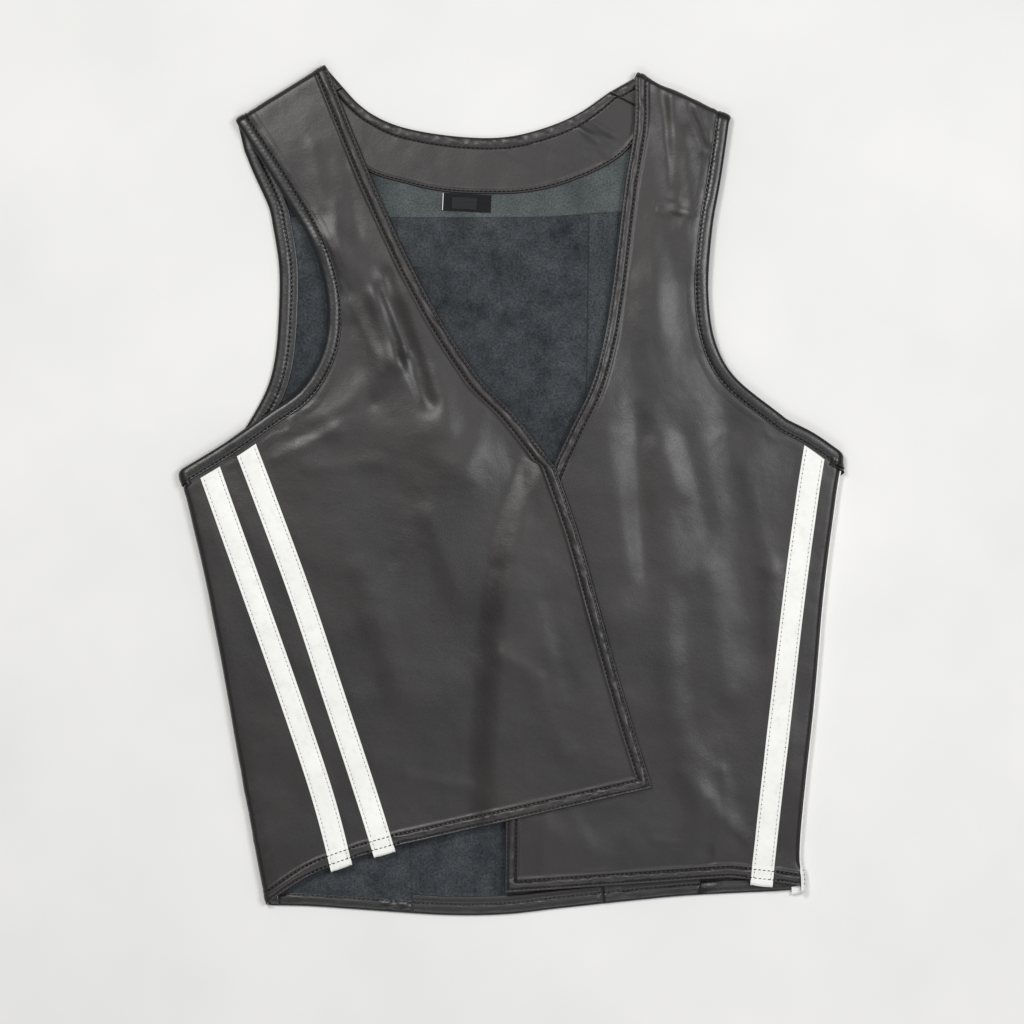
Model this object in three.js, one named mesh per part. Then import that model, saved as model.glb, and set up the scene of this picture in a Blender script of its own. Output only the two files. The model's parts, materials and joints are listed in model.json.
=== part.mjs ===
import * as THREE from 'three';

// A leather wrap vest, laid flat on its back with the right front crossed over the left one.
// Millimetres: x runs to the wearer's left, y to the neck and z up from the surface it lies on.

// Leather, seams and turned edges
const LEATHER = 1.3;
const HALF = LEATHER / 2;
const SEAM_GAP = 0.3;
const TURNED_WIDTH = 10;
const TURNED_FADE = 12;
const TURNED_OUT = 0.5;
const TURNED_IN = 0.6;
const BACK_HEM_WIDTH = 9;
const BACK_HEM_FADE = 11;
const FOLDED_IN = 1.0;
const ALLOWANCE_WIDTH = 15;

// Heights of the middle of the leather above the surface
const FRONT_HEIGHT = 8.4;
const OVERLAP_LIFT = 3.8;
const OVERLAP_FADE = 30;
const OVERLAP_FULL = 5;

// Armhole binding: two legs round the cut edge of the panels
const BINDING_WIDTH = 9.3;
const BINDING_WALL = 0.9;
const BINDING_SLACK = 0.35;
const BINDING_NOSE = 1.05;
const BINDING_NOSE_SHARE = 0.55;
const BINDING_SHOULDER = 0.2;
const BINDING_HALF = HALF + BINDING_SLACK + BINDING_WALL;
const BINDING_LINE = 9.8;
const BOUND_FADE = 30;

// White stripes, turned round the hem
const STRIPE_WIDTH = 16.8;
const STRIPE_THICK = 1.0;
const STRIPE_REACH = 4;
const STRIPE_UNDER_RUN = 8;
const STRIPE_UNDER_RUN_AT_FOLD = 2.5;
const STRIPE_START_AT_FOLD = 1.5;
const CORNER_FROM_STRIPE = 17;

// Back: where the grid columns of its pieces run
const CORNER_SHARE_AT_HEM = 0.45;
const BACK_BELOW_CORNER = 360;
const SEAM_CLEARANCE = 8;
const YOKE_SHOULDER_COLUMN = 58;
const YOKE_NECK_COLUMN = 85;
const YOKE_NECK_STEPS = 10;
const YOKE_ROWS = 4;
const SHOULDER_SEAM_SHIFT = 0.18;
const BACK_CENTRE_COLUMNS = 6;
const ARMHOLE_MIDDLE_Y = 120;

// Neck facing, label and tab
const FACING_WIDTH = 38;
const FACING_THICK = 1.1;
const FACING_SEWN = 0.4;
const FACING_END = 5;
const FACING_INSET = 1;
const BACK_FACING_STEPS = 18;
const FRONT_FACING_STEPS = 3;
const LABEL = { x: -31.9, y: 216.6, width: 36.8, height: 13.2, thick: 0.6, turn: -0.05 };
const SIZE_TAB = { x: -33.5, y: 216.2, width: 19, height: 9, thick: 0.4, turn: -0.05 };

const blackLeather = () => new THREE.MeshStandardMaterial({ color: 0x2b2a2b, roughness: 0.48, metalness: 0 });
const fleshSide = () => new THREE.MeshStandardMaterial({ color: 0x343c42, roughness: 0.9, metalness: 0 });
const whiteLeather = () => new THREE.MeshStandardMaterial({ color: 0xe9e8e2, roughness: 0.55, metalness: 0 });
const wovenLabel = () => new THREE.MeshStandardMaterial({ color: 0x17181c, roughness: 0.8, metalness: 0 });

// Right front: at each level, where the fold and the outer edges of its two stripes lie
const rightLevels = [
  { y: 30, fold: -252.5, outerStripe: -238.6, innerStripe: -205.6 },
  { y: -2, fold: -243, outerStripe: -227.3, innerStripe: -193.4 },
  { y: -80, fold: -225, outerStripe: -199.5, innerStripe: -164.6 },
  { y: -158, fold: -210.8, outerStripe: -172, innerStripe: -138.8 },
  { y: -236, fold: -196.5, outerStripe: -146.3, innerStripe: -113.2 },
  { y: -310, fold: -182.6, outerStripe: -127.5, innerStripe: -90.6 },
];
const rightUnderarm = [
  { x: -249, y: 13 },
  { x: -212, y: 35.5 },
  { x: -181, y: 57 },
];
const rightArmhole = [
  { x: -155, y: 76 },
  { x: -139, y: 104 },
  { x: -135, y: 130 },
  { x: -138, y: 157 },
  { x: -150, y: 191 },
  { x: -170, y: 225 },
];
const rightNeck = [
  { x: 35.3, y: 17.3 },
  { x: 3.8, y: 57.4 },
  { x: -22, y: 84.8 },
  { x: -48, y: 123 },
  { x: -73.5, y: 170 },
  { x: -99.8, y: 227 },
  { x: -122, y: 281 },
];
const rightEdge = [
  { x: 35.3, y: 17.3 },
  { x: 51, y: -28 },
  { x: 71, y: -99.5 },
  { x: 91.5, y: -171 },
  { x: 107.5, y: -222.5 },
];
const rightHem = [
  { x: -184, y: -311 },
  { x: -156.8, y: -292.8 },
  { x: -134.6, y: -282.2 },
  { x: -85.2, y: -266.6 },
  { x: -41.5, y: -257.7 },
  { x: 107.5, y: -222.5 },
];
const rightShoulder = {
  arm: { x: -204.5, y: 278.5 },
  neck: { x: -138.3, y: 320 },
  seamArm: { x: -198, y: 256.5 },
  seamNeck: { x: -124.7, y: 303.4 },
};

// Left front: its outer stripe starts on the fold and runs on to the underside
const leftLevels = [
  { y: 30, fold: 250.8, innerStripe: 237.6 },
  { y: -2, fold: 245.3, innerStripe: 232.5 },
  { y: -80, fold: 235.5, innerStripe: 222 },
  { y: -158, fold: 228.8, innerStripe: 213 },
  { y: -236, fold: 220.5, innerStripe: 204 },
  { y: -278, fold: 217.9, innerStripe: 199.4 },
  { y: -286, fold: 221, innerStripe: 198.6 },
  { y: -300, fold: 221.7, innerStripe: 197.3 },
];
const leftUnderarm = [
  { x: 248, y: 29 },
  { x: 228, y: 42.7 },
  { x: 204.8, y: 54.7 },
  { x: 184.3, y: 68.2 },
];
const leftArmhole = [
  { x: 166.8, y: 87 },
  { x: 154, y: 111 },
  { x: 148.6, y: 146 },
  { x: 151.5, y: 197 },
  { x: 158, y: 235 },
];
const leftNeck = [
  { x: 34.5, y: 21.8 },
  { x: 46.5, y: 47.3 },
  { x: 60.8, y: 77.3 },
  { x: 70.5, y: 111.8 },
  { x: 77.3, y: 152.3 },
  { x: 87, y: 230.3 },
  { x: 93.8, y: 273.8 },
];
const leftEdge = [
  { x: 34.5, y: 21.8 },
  { x: 18, y: -20 },
  { x: 7, y: -80 },
  { x: -1, y: -180 },
  { x: -3.4, y: -301.5 },
];
const leftHem = [
  { x: -3.4, y: -301.5 },
  { x: 38.3, y: -297 },
  { x: 83.3, y: -293.3 },
  { x: 152.3, y: -289.5 },
  { x: 198, y: -293.3 },
  { x: 218, y: -296 },
];
const leftShoulder = {
  arm: { x: 165.8, y: 281 },
  neck: { x: 96.4, y: 314.5 },
  seamArm: { x: 159.4, y: 258 },
  seamNeck: { x: 75.3, y: 299.6 },
};
const STRIPE_TURN = 70;
const STRIPE_TURN_AT_HEM = 14;
const STRIPE_SPREAD = { start: -278, end: -286 };

// Back: armhole edges from the side fold to the shoulder fold, neckline, long seams and hem
const backArmholeRight = [
  { x: -250, y: 8.6 },
  { x: -231.8, y: 21.8 },
  { x: -197.3, y: 46.5 },
  { x: -187.5, y: 63 },
  { x: -180, y: 78.8 },
  { x: -174.8, y: 99.8 },
  { x: -171.8, y: 137.3 },
  { x: -171.8, y: 169.5 },
  { x: -179.3, y: 213 },
  { x: -192, y: 241.5 },
  { x: -205.5, y: 277.5 },
];
const backArmholeLeft = [
  { x: 250, y: 25 },
  { x: 234, y: 20 },
  { x: 210, y: 21 },
  { x: 184, y: 34 },
  { x: 160, y: 56 },
  { x: 145, y: 84 },
  { x: 137.5, y: 115 },
  { x: 135.8, y: 143.3 },
  { x: 138.8, y: 180.8 },
  { x: 144.8, y: 213 },
  { x: 155.3, y: 244.5 },
  { x: 166, y: 280 },
];
const backNeck = [
  { x: -124.7, y: 303.4 },
  { x: -114, y: 291.8 },
  { x: -102, y: 282.8 },
  { x: -81, y: 273.8 },
  { x: -36, y: 266.3 },
  { x: -1.5, y: 266.3 },
  { x: 29.3, y: 273.8 },
  { x: 52.5, y: 284 },
  { x: 75.3, y: 299.6 },
];
const facingEdge = [
  { x: -128, y: 257 },
  { x: -103.5, y: 239.3 },
  { x: -79.5, y: 231.8 },
  { x: -53.3, y: 225.8 },
  { x: -18.8, y: 223.5 },
  { x: 15.8, y: 225 },
  { x: 49.5, y: 234 },
  { x: 84, y: 252 },
];
const yokeSeam = [
  { x: -180, y: 206 },
  { x: 20, y: 206 },
  { x: 81, y: 210 },
  { x: 146, y: 214 },
];

// The long back seams bend once, and the side seams are straight
const rightBackSeam = { topY: 206, topX: -97.5, bendY: 46.5, bendX: -88, bottomY: -318, bottomX: -72.5 };
const leftBackSeam = { topY: 206, topX: 60, bendY: 56, bendX: 58, bottomY: -318, bottomX: 70.4 };
const rightSideSeam = [
  { y: 15, x: -236.5 },
  { y: -312, x: -171.8 },
];
const leftSideSeam = [
  { y: 25, x: 209.3 },
  { y: -300, x: 142.8 },
];
const backHem = [
  { x: -184, y: -311.3 },
  { x: -149.3, y: -312 },
  { x: -84.8, y: -316.5 },
  { x: -41.3, y: -318.8 },
  { x: -1.5, y: -318 },
  { x: 39, y: -313.5 },
  { x: 127.5, y: -304.5 },
  { x: 209.3, y: -300 },
  { x: 221, y: -297.8 },
];

// Largest folds of the fronts: a soft ridge, or a trough where the rise is negative, along each line
const frontFolds = [
  { x0: -104, y0: 168, x1: -64, y1: 62, reach: 11, rise: -2.6 },
  { x0: -122, y0: 150, x1: -84, y1: 66, reach: 11, rise: 1.8 },
  { x0: -82, y0: 128, x1: -44, y1: 30, reach: 16, rise: 1.6 },
  { x0: -130, y0: 50, x1: -90, y1: 96, reach: 12, rise: 1.4 },
  { x0: -30, y0: 26, x1: -96, y1: -92, reach: 20, rise: 1.6 },
  { x0: -66, y0: -150, x1: 24, y1: -118, reach: 22, rise: 1.3 },
  { x0: 112, y0: 300, x1: 128, y1: 214, reach: 9, rise: -2.2 },
  { x0: 128, y0: 262, x1: 136, y1: 170, reach: 11, rise: 1.4 },
  { x0: 84, y0: 92, x1: 130, y1: -40, reach: 22, rise: 1.8 },
  { x0: 160, y0: 40, x1: 186, y1: -120, reach: 18, rise: -1.6 },
  { x0: 140, y0: -196, x1: 148, y1: -262, reach: 14, rise: 1.6 },
];

// Steps that settle a fold's radius and the place where a column meets an edge
const FOLD_STEPS = 4;
const MEET_STEPS = 12;

const radians = (degrees) => (degrees * Math.PI) / 180;
const mix = THREE.MathUtils.lerp;
const ease = THREE.MathUtils.smoothstep;

// Reads one column of a table at a place in another column, smoothly between rows and straight beyond them
function reader(table, by, wanted) {
  const rows = [...table].sort((a, b) => a[by] - b[by]);
  const last = rows.length - 1;
  const slopes = rows.map((_, k) => {
    const before = rows[Math.max(k - 1, 0)];
    const after = rows[Math.min(k + 1, last)];
    return (after[wanted] - before[wanted]) / (after[by] - before[by]);
  });
  return (at) => {
    if (at <= rows[0][by]) return rows[0][wanted] + slopes[0] * (at - rows[0][by]);
    if (at >= rows[last][by]) return rows[last][wanted] + slopes[last] * (at - rows[last][by]);
    const k = rows.findIndex((row) => row[by] > at) - 1;
    const span = rows[k + 1][by] - rows[k][by];
    const t = (at - rows[k][by]) / span;
    const bend = t * t * (3 - 2 * t);
    return (
      mix(rows[k][wanted], rows[k + 1][wanted], bend) +
      span * t * (1 - t) * (slopes[k] * (1 - t) - slopes[k + 1] * t)
    );
  };
}

const flat = ({ x, y }) => new THREE.Vector3(x, y, 0);
const pathThrough = (places) => new THREE.CatmullRomCurve3(places.map(flat), false, 'centripetal');

function distanceToLine(x, y, x0, y0, x1, y1) {
  const along = ((x - x0) * (x1 - x0) + (y - y0) * (y1 - y0)) / ((x1 - x0) ** 2 + (y1 - y0) ** 2);
  const t = THREE.MathUtils.clamp(along, 0, 1);
  return Math.hypot(x - mix(x0, x1, t), y - mix(y0, y1, t));
}

function distanceToPath(points, x, y) {
  let nearest = Infinity;
  for (let k = 1; k < points.length; k += 1) {
    const a = points[k - 1];
    const b = points[k];
    nearest = Math.min(nearest, distanceToLine(x, y, a.x, a.y, b.x, b.y));
  }
  return nearest;
}

const boundEdges = [backArmholeRight, backArmholeLeft].map((table) => pathThrough(table).getPoints(40));

// The back lies on the surface, lifted along the armholes by the binding under it
function backHeight(x, y) {
  const away = Math.min(...boundEdges.map((points) => distanceToPath(points, x, y)));
  return mix(BINDING_HALF, HALF, ease(away, BINDING_LINE, BOUND_FADE));
}

function frontHeight(x, y) {
  let height = FRONT_HEIGHT;
  for (const { x0, y0, x1, y1, reach, rise } of frontFolds) {
    height += rise * Math.exp(-((distanceToLine(x, y, x0, y0, x1, y1) / reach) ** 2));
  }
  return height;
}

const leftEdgeX = reader([...leftNeck, ...leftEdge.slice(1)], 'y', 'x');

// The right front climbs over the edge of the left front
function rightFrontHeight(x, y) {
  const past = x - leftEdgeX(y);
  return frontHeight(x, y) + OVERLAP_LIFT * ease(past, -OVERLAP_FADE, -OVERLAP_FULL);
}

// A column of a panel's grid: where it lies at a height y, and how far it has turned to the underside
const column = (layer, place) => ({ layer, place });
const onTop = (xAt, heightAt) => column(0, (y) => new THREE.Vector3(xAt(y), y, heightAt(xAt(y), y)));
const underneath = (xAt, heightAt) => column(1, (y) => new THREE.Vector3(xAt(y), y, heightAt(xAt(y), y)));

// The round fold at a side: angle 0 is the top of the fold and 180 the underside
function sideFold(side, foldAt, topAt, underAt) {
  const centre = (y) => {
    let radius = FRONT_HEIGHT / 2;
    let x = 0;
    for (let step = 0; step < FOLD_STEPS; step += 1) {
      x = foldAt(y) - side * (HALF + radius);
      radius = (topAt(x, y) - underAt(x, y)) / 2;
    }
    return { x, radius, z: underAt(x, y) + radius };
  };
  const turned = (angleAt) =>
    column((1 - Math.cos(radians(angleAt(0)))) / 2, (y) => {
      const { x, radius, z } = centre(y);
      const angle = radians(angleAt(y));
      return new THREE.Vector3(x + side * radius * Math.sin(angle), y, z + radius * Math.cos(angle));
    });
  return { centre, turned };
}

// Where a column meets an edge given as y over x
function meet(place, edgeAt) {
  let y = edgeAt(place(0).x);
  for (let step = 0; step < MEET_STEPS; step += 1) y = edgeAt(place(y).x);
  return y;
}

// Heights down one column: lines parallel to both ends, and even steps between them
function stations(top, bottom, topLines, hemLines, steps) {
  const first = top - (topLines.at(-1) ?? 0);
  const last = bottom + (hemLines[0] ?? 0);
  const between = Array.from({ length: steps - 1 }, (_, k) => mix(first, last, (k + 1) / steps));
  return [top, ...topLines.map((d) => top - d), ...between, ...hemLines.map((d) => bottom + d), bottom];
}

// Distance along a row at which it is a given width away from an edge
const LEAST_SLANT = 0.5;
const slanted = (tangent, row, width) =>
  width / Math.max(Math.abs(tangent.x * row.y - tangent.y * row.x), LEAST_SLANT);

// Places along one row, from the armhole side to the front edge or seam
function rowPlaces(from, to, fromInsets, toInsets, steps) {
  const length = from.distanceTo(to);
  const places = stations(0, -length, fromInsets, toInsets, steps);
  return places.map((d) => from.clone().lerp(to, -d / length));
}

// An L-shaped panel: the body below the armhole, and the part beside it that reaches up to the shoulder.
// Rows run from the top down and columns from the side seam inwards; absent places are null.
function panelGrid(spec) {
  const { outer, corner, armhole, innerUp, innerDown, interior, rowsUp, rowsDown } = spec;
  const { armLines, edgeLines, topLines, hemLines, topEdge, bottomEdge, heightAt } = spec;
  const raise = (p) => new THREE.Vector3(p.x, p.y, heightAt(p.x, p.y));
  const rows = [];
  const rowAt = (left, right, leftInsets, tangent) => {
    const direction = right.clone().sub(left).normalize();
    const rightInsets = edgeLines.map((width) => slanted(tangent, direction, width));
    return rowPlaces(left, right, leftInsets, rightInsets, interior).map(raise);
  };
  for (let k = 0; k < rowsUp; k += 1) {
    const t = 1 - k / rowsUp;
    const left = armhole.getPointAt(t);
    const right = innerUp.getPointAt(t);
    const direction = right.clone().sub(left).normalize();
    const leftInsets = armLines.map((width) => slanted(armhole.getTangentAt(t), direction, width));
    rows.push([...outer.map(() => null), ...rowAt(left, right, leftInsets, innerUp.getTangentAt(t))]);
  }
  const start = armhole.getPointAt(0);
  const startRow = innerUp.getPointAt(0).sub(start).normalize();
  const startInsets = armLines.map((width) => slanted(armhole.getTangentAt(0), startRow, width));
  const all = [...outer, corner];
  const tops = all.map(({ layer, place }) => place(meet(place, (x) => topEdge(x, layer))));
  const columns = all.map(({ layer, place }, j) => {
    const tangent = (tops[j + 1] ?? tops[j]).clone().sub(tops[j - 1] ?? tops[j]).normalize();
    const stretch = 1 / Math.sqrt(1 - tangent.y ** 2);
    const bottom = meet(place, (x) => bottomEdge(x, layer));
    return stations(tops[j].y, bottom, topLines.map((d) => d * stretch), hemLines, rowsDown).map(place);
  });
  const startLength = innerUp.getPointAt(0).distanceTo(start);
  const edgeLength = innerDown.getLength();
  const edgeStations = stations(0, -edgeLength, topLines, hemLines, rowsDown);
  edgeStations.forEach((station, k) => {
    const t = -station / edgeLength;
    const left = flat(columns.at(-1)[k]);
    const right = innerDown.getPointAt(t);
    const leftInsets = startInsets.map((d) => (d * left.distanceTo(right)) / startLength);
    const row = rowAt(left, right, leftInsets, innerDown.getTangentAt(t));
    rows.push([...outer.map((_, j) => columns[j][k]), ...row]);
  });
  return rows;
}

// Unit normals of a grid of points, averaged over the cells round each point; facing picks the side
function gridNormals(grid, facing) {
  return grid.map((row, i) =>
    row.map((p, j) => {
      if (!p) return null;
      const sum = new THREE.Vector3();
      for (const [a, b] of [[i - 1, j - 1], [i - 1, j], [i, j - 1], [i, j]]) {
        const corners = [grid[a]?.[b], grid[a]?.[b + 1], grid[a + 1]?.[b], grid[a + 1]?.[b + 1]];
        if (corners.some((corner) => !corner)) continue;
        const down = corners[3].clone().sub(corners[0]);
        const across = corners[2].clone().sub(corners[1]);
        sum.add(down.cross(across).normalize());
      }
      return sum.normalize().multiplyScalar(facing);
    }),
  );
}

// A closed mesh between two grids of points of the same shape
function slab(name, under, over, material) {
  const positions = [];
  const triangles = [];
  const numberOf = (grid) =>
    grid.map((row) =>
      row.map((p) => {
        if (!p) return -1;
        positions.push(p.x, p.y, Math.max(p.z, 0));
        return positions.length / 3 - 1;
      }),
    );
  const low = numberOf(under);
  const high = numberOf(over);
  const present = (i, j) =>
    [[i, j], [i, j + 1], [i + 1, j], [i + 1, j + 1]].every(([a, b]) => (low[a]?.[b] ?? -1) >= 0);
  const quad = (a, b, c, d) => triangles.push(a, b, c, a, c, d);
  const side = (i, j, a, b) => {
    if (!present(i, j)) quad(low[a[0]][a[1]], low[b[0]][b[1]], high[b[0]][b[1]], high[a[0]][a[1]]);
  };
  for (let i = 0; i < low.length - 1; i += 1) {
    for (let j = 0; j < low[0].length - 1; j += 1) {
      if (!present(i, j)) continue;
      quad(high[i][j], high[i + 1][j], high[i + 1][j + 1], high[i][j + 1]);
      quad(low[i][j], low[i][j + 1], low[i + 1][j + 1], low[i + 1][j]);
      side(i - 1, j, [i, j + 1], [i, j]);
      side(i + 1, j, [i + 1, j], [i + 1, j + 1]);
      side(i, j - 1, [i, j], [i + 1, j]);
      side(i, j + 1, [i + 1, j + 1], [i, j + 1]);
    }
  }
  return closedMesh(name, positions, triangles, material);
}

function closedMesh(name, positions, triangles, material) {
  const corner = (k) => new THREE.Vector3().fromArray(positions, 3 * triangles[k]);
  let volume = 0;
  for (let k = 0; k < triangles.length; k += 3) volume += corner(k).dot(corner(k + 1).cross(corner(k + 2)));
  if (volume < 0) triangles.reverse();
  const geometry = new THREE.BufferGeometry();
  geometry.setAttribute('position', new THREE.Float32BufferAttribute(positions, 3));
  geometry.setIndex(triangles);
  geometry.computeVertexNormals();
  const mesh = new THREE.Mesh(geometry, material);
  mesh.name = name;
  return mesh;
}

// Moves each point of a grid along its normal by an amount that may differ from place to place
const moved = (grid, normals, amount) =>
  grid.map((row, i) => row.map((p, j) => p && p.clone().addScaledVector(normals[i][j], amount(i, j))));

// A front with its shoulder fold: rows from the shoulder seam, round the fold and down to the hem
const SHOULDER_TURNS = [180, 135, 90, 45];

function frontSheet(front) {
  const { side, outer, corner, shoulder, neck, armholeUp, heightAt, underarmAt, hemAt } = front;
  const away = new THREE.Vector3(
    shoulder.arm.y - shoulder.neck.y,
    shoulder.neck.x - shoulder.arm.x,
    0,
  ).normalize();
  if (away.y < 0) away.negate();
  const crown = (edge) => {
    let radius = FRONT_HEIGHT / 2;
    let point = flat(edge);
    for (let step = 0; step < FOLD_STEPS; step += 1) {
      point = flat(edge).addScaledVector(away, -(HALF + radius));
      radius = (heightAt(point.x, point.y) - backHeight(point.x, point.y)) / 2;
    }
    return point;
  };
  const cornerY = meet(corner.place, (x) => underarmAt(x, 0));
  const armhole = pathThrough([flat(corner.place(cornerY)), ...armholeUp, crown(shoulder.arm)]);
  const body = panelGrid({
    ...front,
    armhole,
    innerUp: pathThrough([...neck, crown(shoulder.neck)]),
    innerDown: pathThrough(front.edge),
    topEdge: underarmAt,
    bottomEdge: hemAt,
    armLines: [BINDING_LINE],
    edgeLines: [TURNED_FADE, TURNED_WIDTH],
    topLines: [BINDING_LINE],
    hemLines: [TURNED_FADE, TURNED_WIDTH],
  });
  const absent = outer.map(() => null);
  const crownRow = body[0].slice(outer.length);
  const fold = SHOULDER_TURNS.map((degrees) => [
    ...absent,
    ...crownRow.map((p) => {
      const low = backHeight(p.x, p.y);
      const radius = (p.z - low) / 2;
      const point = p.clone().addScaledVector(away, radius * Math.sin(radians(degrees)));
      return point.setZ(low + radius + radius * Math.cos(radians(degrees)));
    }),
  ]);
  const seamFrom = flat(shoulder.seamArm).addScaledVector(away, SEAM_GAP / 2);
  const seamTo = flat(shoulder.seamNeck).addScaledVector(away, SEAM_GAP / 2);
  const spacing = crownRow.map((p) => flat(p).distanceTo(flat(crownRow[0])));
  const seam = spacing.map((d) => {
    const p = seamFrom.clone().lerp(seamTo, d / spacing.at(-1));
    return p.setZ(backHeight(p.x, p.y));
  });
  const grid = [[...absent, ...seam], ...fold, ...body];
  const normals = gridNormals(grid, side);
  const lastRow = grid.length - 1;
  const lastColumn = grid[0].length - 1;
  const fadeRound = [0, 0, 0, 0.35, 0.7];
  const neckShare = (i, j) => (j >= lastColumn - 1 ? (fadeRound[i] ?? 1) : 0);
  const hemShare = (i) => (i >= lastRow - 1 ? 1 : 0);
  const layer = (j) => outer[j]?.layer ?? 0;
  const outerHalf = (i, j) =>
    HALF + TURNED_OUT * Math.max(neckShare(i, j), hemShare(i) * Math.max(1 - 2 * layer(j), 0));
  const innerHalf = (i, j) => HALF + TURNED_IN * Math.max(neckShare(i, j), hemShare(i));
  return { grid, normals, outerHalf, innerHalf, firstRow: grid.length - body.length + front.rowsUp };
}

const panelMesh = (name, sheet, material) =>
  slab(
    name,
    moved(sheet.grid, sheet.normals, (i, j) => -sheet.innerHalf(i, j)),
    moved(sheet.grid, sheet.normals, sheet.outerHalf),
    material,
  );

// A stripe lies on the panel between two of its columns, turns round the hem and ends inside
const HEM_TURNS = [0, 60, 120, 180];

function stripeMesh(name, sheet, [fromColumn, toColumn], underRun, startIn = 0) {
  const { grid, normals, outerHalf, innerHalf, firstRow } = sheet;
  const faces = [SEAM_GAP, SEAM_GAP + STRIPE_THICK].map((lift) => {
    const rows = [];
    const cut = (row) => row.slice(fromColumn, toColumn + 1);
    for (let i = firstRow + 1; i < grid.length; i += 1) {
      rows.push(
        cut(grid[i]).map((p, k) =>
          p.clone().addScaledVector(normals[i][fromColumn + k], outerHalf(i, fromColumn + k) + lift),
        ),
      );
    }
    rows[0].forEach((p, k) => p.add(rows[1][k].clone().sub(p).setLength(startIn)));
    const last = grid.length - 1;
    const around = (angle, along) =>
      cut(grid[last]).map((p, k) => {
        const j = fromColumn + k;
        const normal = normals[last][j];
        const down = p.clone().sub(grid[last - 1][j]).projectOnPlane(normal).normalize();
        const thick = outerHalf(last, j) + innerHalf(last, j);
        const radius = thick / 2 + lift;
        const reach = STRIPE_REACH - (thick / 2 + SEAM_GAP + STRIPE_THICK);
        return p
          .clone()
          .addScaledVector(normal, (outerHalf(last, j) - innerHalf(last, j)) / 2 + radius * Math.cos(angle))
          .addScaledVector(down, (along ?? reach) + radius * Math.sin(angle));
      });
    rows.push(...HEM_TURNS.map((degrees) => around(radians(degrees))));
    rows.push(around(Math.PI, -underRun));
    return rows;
  });
  return slab(name, faces[0], faces[1], whiteLeather());
}

// Columns of the right front, from its side seam round the fold to the armhole corner
const rightRead = (wanted) => reader(rightLevels, 'y', wanted);
const rightFold = sideFold(-1, rightRead('fold'), frontHeight, backHeight);
const rightSeamX = reader(rightSideSeam, 'y', 'x');
const leftSeamX = reader(leftSideSeam, 'y', 'x');
const stripeAcross = (edgeAt, y) => {
  const lean = (edgeAt(y + 1) - edgeAt(y - 1)) / 2;
  return STRIPE_WIDTH * Math.hypot(1, lean);
};
const besideStripe = (side, edgeAt, extra) => (y) => edgeAt(y) - side * (stripeAcross(edgeAt, y) + extra);

const rightUnderarmAt = reader(rightUnderarm, 'x', 'y');
const leftUnderarmAt = reader(leftUnderarm, 'x', 'y');
const backHemAt = reader(backHem, 'x', 'y');
const byLayer = (topAt, underAt) => (x, layer) => mix(topAt(x), underAt(x), layer);
const backUnderarmRight = reader(backArmholeRight.slice(0, 3), 'x', 'y');
const backUnderarmLeft = reader(backArmholeLeft.slice(0, 5), 'x', 'y');

const rightOuter = [
  underneath((y) => rightSeamX(y) - SEAM_GAP / 2, backHeight),
  ...[180, 135, 90, 45, 0].map((angle) => rightFold.turned(() => angle)),
  onTop(rightRead('outerStripe'), rightFrontHeight),
  onTop(besideStripe(-1, rightRead('outerStripe'), 0), rightFrontHeight),
  onTop(rightRead('innerStripe'), rightFrontHeight),
  onTop(besideStripe(-1, rightRead('innerStripe'), 0), rightFrontHeight),
];
const rightStripes = { outer: [6, 7], inner: [8, 9] };
const rightSheet = frontSheet({
  side: -1,
  outer: rightOuter,
  corner: onTop(besideStripe(-1, rightRead('innerStripe'), CORNER_FROM_STRIPE), rightFrontHeight),
  armholeUp: rightArmhole,
  neck: rightNeck,
  edge: rightEdge,
  shoulder: rightShoulder,
  heightAt: rightFrontHeight,
  underarmAt: byLayer(rightUnderarmAt, backUnderarmRight),
  hemAt: byLayer(reader(rightHem, 'x', 'y'), backHemAt),
  interior: 9,
  rowsUp: 10,
  rowsDown: 9,
});

// The left front wraps further under, and its outer stripe lifts it off the surface there
const leftRead = (wanted) => reader(leftLevels, 'y', wanted);
const UNDER_STRIPE_LIFT = STRIPE_THICK + SEAM_GAP;
const leftUnderHeight = (x, y) => Math.max(backHeight(x, y), HALF + UNDER_STRIPE_LIFT);
const leftFold = sideFold(1, leftRead('fold'), frontHeight, leftUnderHeight);
const stripeTurnAt = (y) =>
  mix(STRIPE_TURN, STRIPE_TURN_AT_HEM, ease(-y, -STRIPE_SPREAD.start, -STRIPE_SPREAD.end));
const stripeEndX = (y) => {
  const { x, radius } = leftFold.centre(y);
  return x - (STRIPE_WIDTH - (radius + HALF) * radians(180 - stripeTurnAt(y)));
};
const clearOfStripeX = (y) => mix(stripeEndX(y), leftSeamX(y), 0.5);

const leftOuter = [
  underneath((y) => leftSeamX(y) + SEAM_GAP / 2, backHeight),
  underneath(clearOfStripeX, backHeight),
  underneath(stripeEndX, leftUnderHeight),
  leftFold.turned(() => 180),
  leftFold.turned(() => 135),
  leftFold.turned((y) => mix(stripeTurnAt(y), 135, 0.4)),
  leftFold.turned(stripeTurnAt),
  leftFold.turned((y) => stripeTurnAt(y) / 2),
  leftFold.turned(() => 0),
  onTop(leftRead('innerStripe'), frontHeight),
  onTop(besideStripe(1, leftRead('innerStripe'), 0), frontHeight),
];
const leftStripes = { outer: [2, 6], inner: [9, 10] };
const leftSheet = frontSheet({
  side: 1,
  outer: leftOuter,
  corner: onTop(besideStripe(1, leftRead('innerStripe'), CORNER_FROM_STRIPE), frontHeight),
  armholeUp: leftArmhole,
  neck: leftNeck,
  edge: leftEdge,
  shoulder: leftShoulder,
  heightAt: frontHeight,
  underarmAt: byLayer(leftUnderarmAt, backUnderarmLeft),
  hemAt: byLayer(reader(leftHem, 'x', 'y'), backHemAt),
  interior: 8,
  rowsUp: 10,
  rowsDown: 9,
});

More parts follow.
